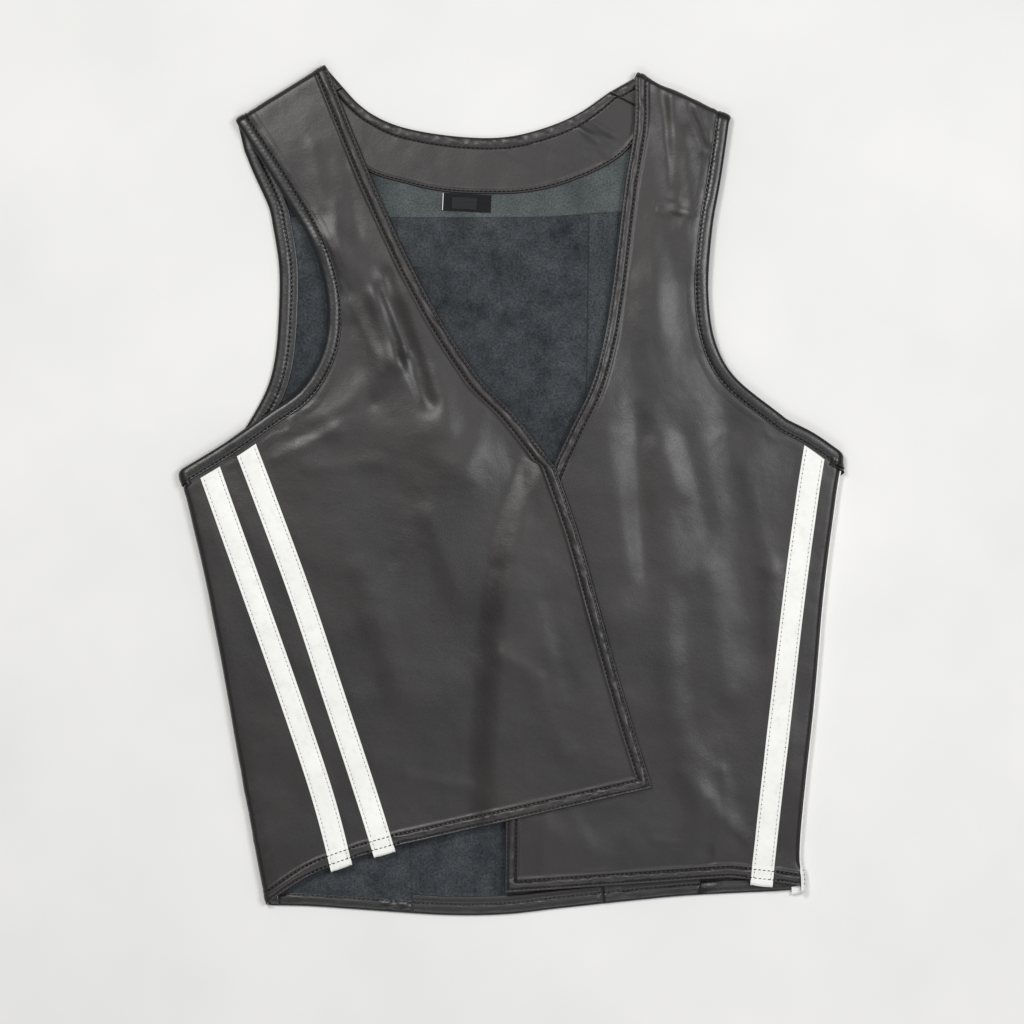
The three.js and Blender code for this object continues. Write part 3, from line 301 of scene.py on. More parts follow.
CREASES = [
    (-94, 150, -76, 104, 3.5, -0.5), (-80, 104, -66, 70, 4, -0.6), (-118, 142, -100, 104, 4, 0.3),
    (-131, 214, -122, 158, 6, 0.6), (-122, 250, -114, 196, 5, -0.5), (-147, 258, -140, 214, 6, 0.5),
    (-160, 40, -104, 66, 5, -0.5), (-150, 16, -96, 22, 6, 0.45), (-176, 24, -128, 46, 4, 0.4),
    (-212, -206, -184, -214, 3, -0.35), (-208, -222, -176, -232, 3, 0.4), (-200, -240, -172, -246, 3, -0.4),
    (-192, -262, -160, -268, 3, 0.35), (-178, -272, -150, -274, 2.5, -0.3), (-202, -180, -186, -188, 3, -0.3),
    (-60, -20, -40, -70, 9, 0.6), (-10, -60, -34, -130, 10, -0.6), (-4, -124, 20, -140, 7, 0.7),
    (-110, -60, -84, -150, 11, 0.7), (20, -150, 44, -196, 9, 0.5), (-76, -214, -30, -222, 5, 0.35),
    (30, -84, 46, -150, 7, -0.5), (-20, 60, -30, 10, 8, 0.5), (0, 30, 20, -20, 7, -0.5),
    (112, 211.5, 141, 208.6, 1.6, -0.5), (110, 215, 138, 212.6, 2.2, 0.35), (104, 206, 118, 200, 2, 0.25),
    (133, 289, 146, 257, 5, -1.0), (140, 288, 150, 262, 4, 0.7), (122, 296, 124, 230, 4.5, 0.8),
    (108, 190, 112, 120, 8, 0.5), (124, 168, 130, 100, 9, -0.5), (96, 160, 104, 90, 7, 0.45),
    (106, 60, 128, 0, 9, 0.7), (132, 40, 150, -30, 8, -0.6), (74, 40, 92, -60, 9, 0.6),
    (150, -60, 164, -150, 10, 0.6), (176, 20, 196, -60, 6, 0.5), (130, -110, 140, -190, 9, -0.5),
    (108, -262, 128, -266, 3, 0.35),
    (160, -210, 168, -256, 5, 0.6), (150, -236, 156, -276, 4, -0.5), (44, -236, 60, -266, 6, 0.4),
    (200, -150, 196, -230, 5, -0.5), (216, -40, 212, -110, 5, 0.4), (28, -240, 26, -284, 5, 0.35),
]
CREASES += [(50 + 3.6 * k, -270 - 0.4 * k, 55 + 3.6 * k, -283, 1.3, 0.2) for k in range(11)]
FACING_CREASES = [
    (38, 284, 66, 262, 2.2, 0.45), (48, 286, 78, 268, 2.0, -0.4), (56, 270, 80, 262, 2.4, 0.5),
    (52, 262, 76, 256, 1.8, -0.35), (60, 252, 78, 246, 2.0, 0.35), (-8, 258, 22, 244, 2.6, 0.25),
    (-84, 262, -58, 238, 3.0, 0.2), (-112, 262, -96, 246, 2.4, 0.3), (14, 262, 40, 250, 2.2, -0.25),
]
BACK_CREASES = [
    (-60, 190, -30, 60, 14, 0.5), (20, 180, 34, 40, 12, -0.4), (-10, 120, 10, -40, 16, 0.4),
    (-150, 120, -120, 20, 10, 0.5), (100, 150, 110, 40, 11, 0.4), (-40, -250, 40, -262, 8, 0.5),
    (-60, -292, 10, -286, 6, 0.4), (-130, -260, -90, -290, 7, 0.5), (90, -270, 130, -250, 7, 0.4),
]
# Lumps on the turned back hem, where seams cross it
HEM_LUMPS = [
    (-100, -299, -80, -301, 4.5, 0.9), (-91, -295, -89, -312, 2.6, 0.8), (-84, -296, -83, -313, 1.6, -0.7),
    (-96, -297, -98, -310, 1.8, -0.4), (-78, -299, -76, -313, 1.8, 0.5), (72, -300, 74, -309, 2.0, 0.6),
    (78, -299, 88, -303, 2.4, 0.5), (69, -300, 69.5, -311, 1.2, -0.5),
]


# Garment places in the frame: the neck label shows how far the CAD moved the garment
label_low, label_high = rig.box("neck_label")
ORIGIN = np.array([
    (label_low.x + label_high.x) / 2 - LABEL["x"] / 1000,
    (label_low.y + label_high.y) / 2 - LABEL["y"] / 1000,
    0.0,
])


def metres(points):
    return np.asarray(points, float) / 1000 + ORIGIN


def mix(a, b, share):
    return a + (b - a) * share


def ease(x, low, high):
    share = np.clip((np.asarray(x, float) - low) / (high - low), 0, 1)
    return share * share * (3 - 2 * share)


def unit(v):
    return v / np.maximum(np.linalg.norm(v, axis=-1, keepdims=True), 1e-9)


def flat(place):
    return np.array([place[0], place[1], 0.0])


def bell(x, reach):
    """1 at 0, and close to 0 beyond twice the reach."""
    return np.exp(-((x / reach) ** 2))


def arch(share, power=0.7):
    """A round rise from 0 to 1 and back, while the share goes from 0 to 1."""
    return np.sin(math.pi * np.clip(share, 0, 1)) ** power


def settle(value, step):
    """The value that a step repeated from a first guess arrives at."""
    for _ in range(12):
        value = step(value)
    return float(value)


def lengths_along(points):
    steps = np.linalg.norm(np.diff(points, axis=0), axis=1)
    return np.concatenate([[0], np.cumsum(steps)])


def read_along(at, along, values):
    return np.stack([np.interp(at, along, values[:, k]) for k in range(3)], axis=-1)


def square_to(v, *directions):
    """Unit vectors: what is left of v without its share along the directions."""
    for direction in directions:
        v = v - direction * (v * direction).sum(-1, keepdims=True)
    return unit(v)


def reader(table, by=0, wanted=1):
    """One column of a table read by another, smoothly between rows and straight beyond them."""
    rows = sorted(table, key=lambda row: row[by])
    xs = np.array([row[by] for row in rows], float)
    ys = np.array([row[wanted] for row in rows], float)
    last = len(rows) - 1
    index = np.arange(last + 1)
    after, before = np.minimum(index + 1, last), np.maximum(index - 1, 0)
    slopes = (ys[after] - ys[before]) / (xs[after] - xs[before])

    def read(at):
        at = np.asarray(at, float)
        k = np.clip(np.searchsorted(xs, at, side="right") - 1, 0, last - 1)
        span = xs[k + 1] - xs[k]
        t = np.clip((at - xs[k]) / span, 0, 1)
        bend = t * t * (3 - 2 * t)
        inside = mix(ys[k], ys[k + 1], bend) + span * t * (1 - t) * (slopes[k] * (1 - t) - slopes[k + 1] * t)
        low = slopes[0] * np.minimum(at - xs[0], 0)
        high = slopes[-1] * np.maximum(at - xs[-1], 0)
        return inside + low + high

    return read


def bent(table):
    """A seam of straight stretches, given as y, x."""
    ys, xs = zip(*table)
    return lambda y: np.interp(y, ys, xs)


class Path:
    """A smooth curve through flat places, read by its share of length."""

    STEPS = 40

    def __init__(self, places):
        p = np.array([(place[0], place[1], 0.0) for place in places])
        p = np.vstack([2 * p[0] - p[1], p, 2 * p[-1] - p[-2]])
        t = np.linspace(0, 1, self.STEPS + 1)[:-1, None]
        pieces = []
        for a, b, c, d in zip(p, p[1:], p[2:], p[3:]):
            before, here, after = (math.sqrt(np.linalg.norm(v)) for v in (b - a, c - b, d - c))
            start = ((b - a) / before - (c - a) / (before + here) + (c - b) / here) * here
            end = ((c - b) / here - (d - b) / (here + after) + (d - c) / after) * here
            pieces.append(
                b + start * t + (3 * (c - b) - 2 * start - end) * t**2 + (2 * (b - c) + start + end) * t**3
            )
        self.points = np.vstack([*pieces, p[-2]])
        self.lengths = lengths_along(self.points)
        self.length = self.lengths[-1]

    def at(self, share):
        return read_along(np.asarray(share, float) * self.length, self.lengths, self.points)

    def tangent(self, share):
        step = 0.5 / self.length
        return unit(self.at(min(share + step, 1)) - self.at(max(share - step, 0)))


def distance_to_line(x, y, x0, y0, x1, y1):
    along = ((x - x0) * (x1 - x0) + (y - y0) * (y1 - y0)) / ((x1 - x0) ** 2 + (y1 - y0) ** 2)
    t = np.clip(along, 0, 1)
    return np.hypot(x - mix(x0, x1, t), y - mix(y0, y1, t))


def distance_to_path(points, x, y):
    return np.min([distance_to_line(x, y, *a[:2], *b[:2]) for a, b in zip(points, points[1:])], axis=0)


def raised_lines(x, y, rows):
    """The summed rise of folds or creases at each place."""
    return sum(rise * bell(distance_to_line(x, y, *line), reach) for *line, reach, rise in rows)


def uneven(points, size, seed):
    """Smooth noise between about -1 and 1 whose waves are about that size, in millimetres."""
    shift = Vector((17.3, 9.1, 4.7)) * seed
    flat_points = points.reshape(-1, 3) / size
    values = [noise.noise(Vector(p) + shift) if p[0] == p[0] else 0.0 for p in flat_points]
    return np.array(values).reshape(points.shape[:-1]) * 1.6


def waves(points, seed, sizes):
    """Unevenness from pairs of a size of wave and its rise."""
    return sum(rise * uneven(points, size, seed + k) for k, (size, rise) in enumerate(sizes))


# Heights of the middle of the leather
BOUND_EDGES = [Path(table).at(np.linspace(0, 1, 41)) for table in (BACK_ARMHOLE_RIGHT, BACK_ARMHOLE_LEFT)]
left_edge_x = reader(LEFT_NECK + LEFT_EDGE[1:], 1, 0)


def back_height(x, y):
    away = np.minimum(*(distance_to_path(points, x, y) for points in BOUND_EDGES))
    return mix(BINDING_HALF, HALF, ease(away, BINDING_LINE, BOUND_FADE))


def front_height(x, y):
    return FRONT_HEIGHT + raised_lines(x, y, FOLDS)


def right_front_height(x, y):
    past = x - left_edge_x(y)
    return front_height(x, y) + OVERLAP_LIFT * ease(past, -OVERLAP_FADE, -OVERLAP_FULL)


# Columns of a panel's grid: how far each has turned to the underside, and where it lies at a height y
def lying(layer, x_at, height_at):
    def place(y):
        x = x_at(y)
        return np.stack([x, np.broadcast_to(y, np.shape(x)), height_at(x, y)], axis=-1)

    return layer, place


def on_top(x_at, height_at):
    return lying(0, x_at, height_at)


def underneath(x_at, height_at):
    return lying(1, x_at, height_at)


def between(x_from, x_to, share):
    return lambda y: mix(x_from(y), x_to(y), share)


def columns_between(x_from, x_to, shares, height_at, lies=on_top):
    return [lies(between(x_from, x_to, share), height_at) for share in shares]


class SideFold:
    """The round fold at a side: angle 0 is the top of the fold and 180 the underside."""

    def __init__(self, side, fold_at, top_at, under_at):
        self.side, self.fold_at, self.top_at, self.under_at = side, fold_at, top_at, under_at

    def centre(self, y):
        radius = FRONT_HEIGHT / 2
        for _ in range(4):
            x = self.fold_at(y) - self.side * (HALF + radius)
            radius = (self.top_at(x, y) - self.under_at(x, y)) / 2
        return x, radius, self.under_at(x, y) + radius

    def turned(self, angle_at):
        def place(y):
            y = np.asarray(y, float)
            x, radius, z = self.centre(y)
            angle = np.radians(angle_at(y))
            return np.stack([x + self.side * radius * np.sin(angle), y, z + radius * np.cos(angle)], axis=-1)

        return (1 - math.cos(math.radians(float(angle_at(0.0))))) / 2, place


def meet(place, edge_at):
    """Where a column meets an edge given as y over x."""
    return settle(edge_at(place(0.0)[0]), lambda y: edge_at(place(y)[0]))


def stations(top, bottom, top_lines, hem_lines, steps):
    """Places from the top down to the bottom, close together at lines beside both ends."""
    top_lines, hem_lines = list(top_lines), list(hem_lines)
    first = top - (top_lines[-1] if top_lines else 0)
    last = bottom + (hem_lines[0] if hem_lines else 0)
    inside = [mix(first, last, k / steps) for k in range(1, steps)]
    return np.array([top, *(top - d for d in top_lines), *inside, *(bottom + d for d in hem_lines), bottom])


def slant(tangent, row):
    """How squarely a row meets an edge: 1 at a right angle, and never less than a half."""
    return max(abs(tangent[0] * row[1] - tangent[1] * row[0]), 0.5)


FAR = 99.0


class Sheet:
    """Places on the middle of a piece of leather, its outward normals, and distances to its edges."""

    def __init__(self, grid, facing, edge, hem, arm=None):
        self.grid = grid
        self.normals = grid_normals(grid) * facing
        self.edge = np.broadcast_to(edge, grid.shape[:2])
        self.hem = np.broadcast_to(hem, grid.shape[:2])
        self.arm = np.full(grid.shape[:2], FAR) if arm is None else arm

    def push(self, amount):
        """Moves the middle of the leather along its normals, as a crease does."""
        self.grid = self.grid + self.normals * amount[..., None]
        self.grid[..., 2] = np.maximum(self.grid[..., 2], HALF)


def at_corners(cells):
    """Adds up at each grid point what the cells round it hold."""
    rows, columns = cells.shape[:2]
    total = np.zeros((rows + 1, columns + 1, *cells.shape[2:]))
    for a in (0, 1):
        for b in (0, 1):
            total[a : a + rows, b : b + columns] += cells
    return total


def grid_normals(grid):
    down = grid[1:, 1:] - grid[:-1, :-1]
    across = grid[1:, :-1] - grid[:-1, 1:]
    return unit(at_corners(np.nan_to_num(unit(np.cross(down, across)))))


def from_last(lines, count):
    """Distance from the last of a number of columns or rows, for lines beside it."""
    values = np.full(count, FAR)
    values[-len(lines) - 1 :] = [*lines, 0.0]
    return values


def panel_grid(
    outer, corner, armhole, inner_up, inner_down, height_at, top_edge, bottom_edge,
    arm_lines, edge_lines, hem_lines, interior, rows_up, rows_down,
):
    """An L-shaped panel: the body below the armhole, and the part beside it that reaches to the shoulder."""
    absent = np.full((len(outer), 3), np.nan)

    def row_between(left, right, left_insets, tangent):
        direction = unit(right - left)
        insets = np.array(edge_lines) / slant(tangent, direction)
        length = np.linalg.norm(right - left)
        places = -stations(0, -length, left_insets, insets, interior)
        row = left + direction * places[:, None]
        row[:, 2] = height_at(row[:, 0], row[:, 1])
        return row

    rows = []
    for k in range(rows_up):
        t = 1 - k / rows_up
        left, right = armhole.at(t), inner_up.at(t)
        insets = np.array(arm_lines) / slant(armhole.tangent(t), unit(right - left))
        rows.append(np.vstack([absent, row_between(left, right, insets, inner_up.tangent(t))]))
    start_row = inner_up.at(0) - armhole.at(0)
    start_insets = np.array(arm_lines) / slant(armhole.tangent(0), unit(start_row))
    columns = [*outer, corner]
    tops = np.array([place(meet(place, lambda x: top_edge(x, layer))) for layer, place in columns])
    down = []
    for j, (layer, place) in enumerate(columns):
        before, after = tops[max(j - 1, 0)], tops[min(j + 1, len(tops) - 1)]
        stretch = 1 / math.sqrt(1 - unit(after - before)[1] ** 2)
        bottom = meet(place, lambda x: bottom_edge(x, layer))
        lines = [d * stretch for d in arm_lines]
        down.append(place(stations(tops[j][1], bottom, lines, hem_lines, rows_down)))
    along = -stations(0, -inner_down.length, arm_lines, hem_lines, rows_down)
    for k, station in enumerate(along):
        t = station / inner_down.length
        left = flat(down[-1][k])
        right = inner_down.at(t)
        insets = start_insets * np.linalg.norm(right - left) / np.linalg.norm(start_row)
        row = row_between(left, right, insets, inner_down.tangent(t))
        rows.append(np.vstack([[column[k] for column in down[:-1]], row]))
    return np.array(rows)


SHOULDER_TURNS = range(180, 0, -15)
SHOULDER_ROWS = 7


def shoulder_direction(shoulder):
    """Square to the line of the shoulder fold, away from the garment."""
    arm, neck = shoulder["arm"], shoulder["neck"]
    away = unit(np.array([arm[1] - neck[1], neck[0] - arm[0], 0.0]))
    return away if away[1] > 0 else -away


def front_sheet(
    side, outer, corner, shoulder, neck, armhole_up, edge, height_at, underarm_at, hem_at, steps,
):
    """A whole front: the panel, the shoulder fold and the flat leather from there to the shoulder seam."""
    away = shoulder_direction(shoulder)

    def crown(place):
        radius = FRONT_HEIGHT / 2
        for _ in range(4):
            point = flat(place) - away * (HALF + radius)
            radius = (height_at(point[0], point[1]) - back_height(point[0], point[1])) / 2
        return point

    corner_y = meet(corner[1], lambda x: underarm_at(x, 0))
    interior, rows_up, rows_down = steps
    body = panel_grid(
        outer, corner, armhole=Path([corner[1](corner_y), *armhole_up, crown(shoulder["arm"])]),
        inner_up=Path([*neck, crown(shoulder["neck"])]), inner_down=Path(edge), height_at=height_at,
        top_edge=underarm_at, bottom_edge=hem_at, arm_lines=TOP_LINES, edge_lines=EDGE_LINES,
        hem_lines=EDGE_LINES, interior=interior, rows_up=rows_up, rows_down=rows_down,
    )
    count = len(outer)
    crown_row = body[0, count:]
    low = back_height(crown_row[:, 0], crown_row[:, 1])
    radius = (crown_row[:, 2] - low) / 2
    fold = []
    for degrees in SHOULDER_TURNS:
        angle = math.radians(degrees)
        row = crown_row + away * (radius * math.sin(angle))[:, None]
        row[:, 2] = low + radius + radius * math.cos(angle)
        fold.append(row)
    spacing = np.linalg.norm((crown_row - crown_row[0])[:, :2], axis=1)
    seam_from, seam_to = (flat(shoulder[key]) + away * SEWN_GAP / 2 for key in ("seam_arm", "seam_neck"))
    seam = seam_from + (seam_to - seam_from) * (spacing / spacing[-1])[:, None]
    flats = []
    for k in range(SHOULDER_ROWS):
        row = mix(seam, fold[0], k / SHOULDER_ROWS)
        row[:, 2] = back_height(row[:, 0], row[:, 1])
        flats.append(row)
    above = np.full((len(flats) + len(fold), body.shape[1], 3), np.nan)
    above[:, count:] = flats + fold
    grid = np.concatenate([above, body])
    rows, columns = grid.shape[:2]
    first = len(above) + rows_up
    column_arm = np.full(columns, FAR)
    column_arm[count : count + len(TOP_LINES) + 1] = [0, *TOP_LINES]
    row_arm = np.full(rows, FAR)
    row_arm[first : first + len(TOP_LINES) + 1] = [0, *TOP_LINES]
    arm = np.where(np.arange(rows)[:, None] < first, column_arm[None, :], row_arm[:, None])
    beyond = np.arange(columns)[None, :] > count
    arm = np.where((np.arange(rows)[:, None] >= first) & beyond, np.hypot(row_arm[:, None], column_arm), arm)
    edge, hem = from_last(EDGE_LINES, columns)[None, :], from_last(EDGE_LINES, rows)[:, None]
    sheet = Sheet(grid, side, edge, hem, arm)
    sheet.first = first
    sheet.count = count
    sheet.layer = np.array([layer for layer, _ in outer] + [0.0] * (columns - count))
    sheet.shoulder_fade = np.ones(rows)
    sheet.shoulder_fade[:SHOULDER_ROWS] = 0
    sheet.shoulder_fade[SHOULDER_ROWS : len(above)] = np.linspace(0, 1, len(fold))
    return sheet


# Right front
right_under_x = lambda y: reader(RIGHT_SIDE_SEAM)(y) - SEWN_GAP / 2
right_outer_x, right_inner_x = reader(RIGHT_LEVELS, 0, 2), reader(RIGHT_LEVELS, 0, 3)
right_fold = SideFold(-1, reader(RIGHT_LEVELS), front_height, back_height)
GAP_SHARES = (0.2, 0.4, 0.6, 0.8)
UNDER_SHARES = (0, 0.25, 0.5, 0.75)
STRIPE_SHARES = [d / STRIPE_WIDTH for d in (0, 0.7, 1.5, 1.95, 2.3, 2.65, 3.2, 5.2, 8.4)]
STRIPE_SHARES += [1 - share for share in reversed(STRIPE_SHARES[:-1])]


def stripe_across(edge_at, y):
    return STRIPE_WIDTH * np.hypot(1, (edge_at(y + 1) - edge_at(y - 1)) / 2)


def beside(side, edge_at, share, extra=0.0):
    """A line beside the outer edge of a stripe, at a share of its width or further in."""
    return lambda y: edge_at(y) - side * (stripe_across(edge_at, y) * share + extra)


def fold_x(fold):
    return lambda y: fold.centre(y)[0]


def add_stripe(columns, side, edge_at, height_at):
    """Adds the columns under a stripe, and gives the numbers of the first and the last."""
    columns += [on_top(beside(side, edge_at, share), height_at) for share in STRIPE_SHARES]
    return len(columns) - len(STRIPE_SHARES), len(columns) - 1


def columns_to_corner(side, edge_at, height_at):
    return [on_top(beside(side, edge_at, 1, CORNER_FROM_STRIPE * share), height_at) for share in GAP_SHARES]


right_columns = columns_between(right_under_x, fold_x(right_fold), UNDER_SHARES, back_height, underneath)
right_columns += [right_fold.turned(lambda y, angle=angle: angle) for angle in range(180, -1, -15)]
right_columns += columns_between(fold_x(right_fold), right_outer_x, GAP_SHARES, right_front_height)
right_stripes = {"outer": add_stripe(right_columns, -1, right_outer_x, right_front_height)}
right_columns += columns_between(beside(-1, right_outer_x, 1), right_inner_x, GAP_SHARES, right_front_height)
right_stripes["inner"] = add_stripe(right_columns, -1, right_inner_x, right_front_height)
right_columns += columns_to_corner(-1, right_inner_x, right_front_height)


def by_layer(top_at, under_at):
    return lambda x, layer: mix(top_at(x), under_at(x), layer)


back_hem_at = reader(BACK_HEM)
right_sheet = front_sheet(
    side=-1, outer=right_columns,
    corner=on_top(beside(-1, right_inner_x, 1, CORNER_FROM_STRIPE), right_front_height),
    shoulder=RIGHT_SHOULDER, neck=RIGHT_NECK, armhole_up=RIGHT_ARMHOLE, edge=RIGHT_EDGE,
    height_at=right_front_height,
    underarm_at=by_layer(reader(RIGHT_UNDERARM), reader(BACK_ARMHOLE_RIGHT[:3])),
    hem_at=by_layer(reader(RIGHT_HEM), back_hem_at), steps=(78, 96, 118),
)

# Left front, whose outer stripe starts on the fold and runs on to the underside
left_under_x = lambda y: reader(LEFT_SIDE_SEAM)(y) + SEWN_GAP / 2
left_inner_x = reader(LEFT_LEVELS, 0, 2)


def left_under_height(x, y):
    return np.maximum(back_height(x, y), HALF + STRIPE_THICK + SEAM_GAP)


left_fold = SideFold(1, reader(LEFT_LEVELS), front_height, left_under_height)


def stripe_turn_at(y):
    return mix(STRIPE_TURN, STRIPE_TURN_AT_HEM, ease(-np.asarray(y), -STRIPE_SPREAD[0], -STRIPE_SPREAD[1]))


def stripe_end_x(y):
    x, radius, _ = left_fold.centre(y)
    return x - (STRIPE_WIDTH - (radius + HALF) * np.radians(180 - stripe_turn_at(y)))


def rising_under(share):
    return lambda x, y: mix(back_height(x, y), left_under_height(x, y), ease(share, 0.5, 1))


left_columns = [
    underneath(between(left_under_x, stripe_end_x, s), rising_under(s)) for s in (0, 0.25, 0.5, 0.7, 0.85)
]
stripe_start = len(left_columns)
left_columns += columns_between(
    stripe_end_x, fold_x(left_fold), (0, 0.12, 0.3, 0.65), left_under_height, underneath)
left_columns += [
    left_fold.turned(lambda y, s=s: mix(180, stripe_turn_at(y), s)) for s in np.linspace(0, 1, 10)
]
left_stripes = {"outer": (stripe_start, len(left_columns) - 1)}
left_columns += [left_fold.turned(lambda y, s=s: stripe_turn_at(y) * s) for s in (0.8, 0.6, 0.4, 0.2, 0)]
left_columns += columns_between(fold_x(left_fold), left_inner_x, GAP_SHARES, front_height)
left_stripes["inner"] = add_stripe(left_columns, 1, left_inner_x, front_height)
left_columns += columns_to_corner(1, left_inner_x, front_height)
left_sheet = front_sheet(
    side=1, outer=left_columns, corner=on_top(beside(1, left_inner_x, 1, CORNER_FROM_STRIPE), front_height),
    shoulder=LEFT_SHOULDER, neck=LEFT_NECK, armhole_up=LEFT_ARMHOLE, edge=LEFT_EDGE,
    height_at=front_height, underarm_at=by_layer(reader(LEFT_UNDERARM), reader(BACK_ARMHOLE_LEFT[:5])),
    hem_at=by_layer(reader(LEFT_HEM), back_hem_at), steps=(72, 96, 118),
)


# Back pieces, seen from inside, with normals up
ALLOWANCE_LINES = (24.0, 22.2, 21.5, 20.8, 18.5, 16.4, 15.4, 15.0, 14.4, 12, 9, 6, 3, 1.2)
BACK_HEM_LINES = (18.0, 16.0, 15.0, 14.4, 13.4, 11.6, 10.4, 9.6, 9.0, 8.4, 7.8, 7.0, 5.8, 4.4, 3.0, 1.8, 0.9)
BACK_ARM_LINES = (2.5, 5.0, 7.5, 9.0, BINDING_LINE, 11.5, 15.0, 22.0, BOUND_FADE)
YOKE_LEVEL = 206.0
CLEAR_OF_YOKE, CLEAR_OF_END = 8.0, 4.0
HEM_LEVEL = -318.0
ARMHOLE_LEVEL = 120.0
CORNER_SHARE = 0.62
CORNER_REACH = 360.0
SIDE_COLUMNS = 20
CENTRE_WIDTH = 140.0
yoke_seam_at = reader(YOKE_SEAM)
right_back_x, left_back_x = bent(RIGHT_BACK_SEAM), bent(LEFT_BACK_SEAM)


def straight(x_at, from_y, to_y):
    ys = [mix(from_y, to_y, t) for t in (0, 0.5, 1)]
    return Path([(x_at(y), y) for y in ys])


def edge_crossing(table):
    """Where the edge of an armhole meets the yoke seam."""
    x_at = reader([place for place in table if place[1] > ARMHOLE_LEVEL], 1, 0)
    y = settle(YOKE_LEVEL, lambda y: yoke_seam_at(x_at(y)))
    return float(x_at(y)), y


def back_side_sheet(side, seam_x, inner_x, table, corner_index, edge_lines):
    """A side back, whose armhole edge turns from the underarm up to the yoke at a row of the table."""
    gap = side * SEWN_GAP / 2
    corner_place = table[corner_index]
    inner_at = lambda y: inner_x(y) + gap
    lower_x = lambda y: mix(inner_at(y), seam_x(y), CORNER_SHARE)
    corner_x = lambda y: mix(corner_place[0], lower_x(y), (corner_place[1] - y) / CORNER_REACH)
    top = edge_crossing(table)
    highest = yoke_seam_at(corner_place[0]) - CLEAR_OF_YOKE
    reached = [place for place in table[corner_index:] if place[1] < highest]
    bottom_y = settle(0.0, lambda y: back_hem_at(inner_at(y)))
    yoke_y = float(yoke_seam_at(inner_at(YOKE_LEVEL)))
    underarm = reader(table[: corner_index + 1])
    start = lambda y: seam_x(y) - gap
    outer = columns_between(start, corner_x, np.linspace(0, 0.95, SIDE_COLUMNS), back_height, underneath)
    grid = panel_grid(
        outer, on_top(corner_x, back_height), armhole=Path([*reached, (top[0], top[1] - SEWN_GAP / 2)]),
        inner_up=straight(inner_at, corner_place[1], yoke_y - SEWN_GAP / 2),
        inner_down=straight(inner_at, corner_place[1], bottom_y), height_at=back_height,
        top_edge=lambda x, layer: underarm(x), bottom_edge=lambda x, layer: back_hem_at(x),
        arm_lines=BACK_ARM_LINES, edge_lines=edge_lines, hem_lines=BACK_HEM_LINES,
        interior=16, rows_up=60, rows_down=90,
    )
    rows, columns = grid.shape[:2]
    edge, hem = from_last(edge_lines, columns)[None, :], from_last(BACK_HEM_LINES, rows)[:, None]
    sheet = Sheet(grid, side, edge, hem)
    sheet.count = SIDE_COLUMNS
    return sheet


back_right_sheet = back_side_sheet(
    -1, reader(RIGHT_SIDE_SEAM), right_back_x, BACK_ARMHOLE_RIGHT, corner_index=2, edge_lines=(4.0, 2.5, 1.2))
back_left_sheet = back_side_sheet(
    1, reader(LEFT_SIDE_SEAM), left_back_x, BACK_ARMHOLE_LEFT, corner_index=4, edge_lines=ALLOWANCE_LINES)


def back_centre_sheet(across=70, down=190):
    shares = np.concatenate([[0, 0.008, 0.018], np.linspace(0.03, 0.97, across), [0.982, 0.992, 1]])
    columns = []
    for share in shares:
        x_at = lambda y: mix(right_back_x(y) + SEWN_GAP / 2, left_back_x(y) - SEWN_GAP / 2, share)
        top = settle(YOKE_LEVEL, lambda y: yoke_seam_at(x_at(y)) - SEWN_GAP / 2)
        bottom = settle(HEM_LEVEL, lambda y: back_hem_at(x_at(y)))
        y = stations(top, bottom, (1.2, 2.5, 4), BACK_HEM_LINES, down)
        x = x_at(y)
        columns.append(np.stack([x, y, back_height(x, y)], axis=-1))
    grid = np.stack(columns, axis=1)
    edge = np.minimum(shares, 1 - shares) * CENTRE_WIDTH
    return Sheet(grid, -1, edge[None, :], from_last(BACK_HEM_LINES, len(grid))[:, None])


YOKE_INSETS = (0, 2.5, 5, 7.5, 9, BINDING_LINE, 11.5, 15, 20, 25, BOUND_FADE, 37, 44, 51, 58)
YOKE_SHOULDER = 85.0


def yoke_sheet(steps=44):
    neck = Path(BACK_NECK)

    def along_seam(shoulder):
        a, b = flat(shoulder["seam_arm"]), flat(shoulder["seam_neck"])
        return [mix(a, b, d / np.linalg.norm(b - a)) for d in YOKE_INSETS]

    neck_shares = np.linspace(0, 1, 71)
    top = np.array([*along_seam(RIGHT_SHOULDER), *neck.at(neck_shares), *along_seam(LEFT_SHOULDER)[::-1]])
    right_end, left_end = edge_crossing(BACK_ARMHOLE_RIGHT), edge_crossing(BACK_ARMHOLE_LEFT)
    bottom_x = np.array([
        *(right_end[0] + d for d in YOKE_INSETS),
        *mix(right_end[0] + YOKE_SHOULDER, left_end[0] - YOKE_SHOULDER, neck_shares),
        *(left_end[0] - d for d in YOKE_INSETS[::-1]),
    ])
    bottom = np.stack([bottom_x, yoke_seam_at(bottom_x) + SEWN_GAP / 2, np.zeros(len(bottom_x))], axis=-1)
    share = ((bottom_x - right_end[0]) / (left_end[0] - right_end[0]))[:, None]
    edges = []
    for table, end, arm in (
        (BACK_ARMHOLE_RIGHT, right_end, RIGHT_SHOULDER), (BACK_ARMHOLE_LEFT, left_end, LEFT_SHOULDER),
    ):
        high = arm["seam_arm"]
        low_y, high_y = end[1] + CLEAR_OF_END, high[1] - CLEAR_OF_END
        edges.append(Path([end, *(p for p in table if low_y < p[1] < high_y), high]))
    rows = []
    for i in range(steps + 1):
        t = 1 - i / steps
        row = mix(bottom, top, t)
        for path, weight in zip(edges, (1 - share, share)):
            row = row + (path.at(t) - mix(path.at(0), path.at(1), t)) * weight
        row[:, 2] = back_height(row[:, 0], row[:, 1])
        rows.append(row)
    return Sheet(np.array(rows), -1, FAR, FAR)


back_centre = back_centre_sheet()
yoke = yoke_sheet()


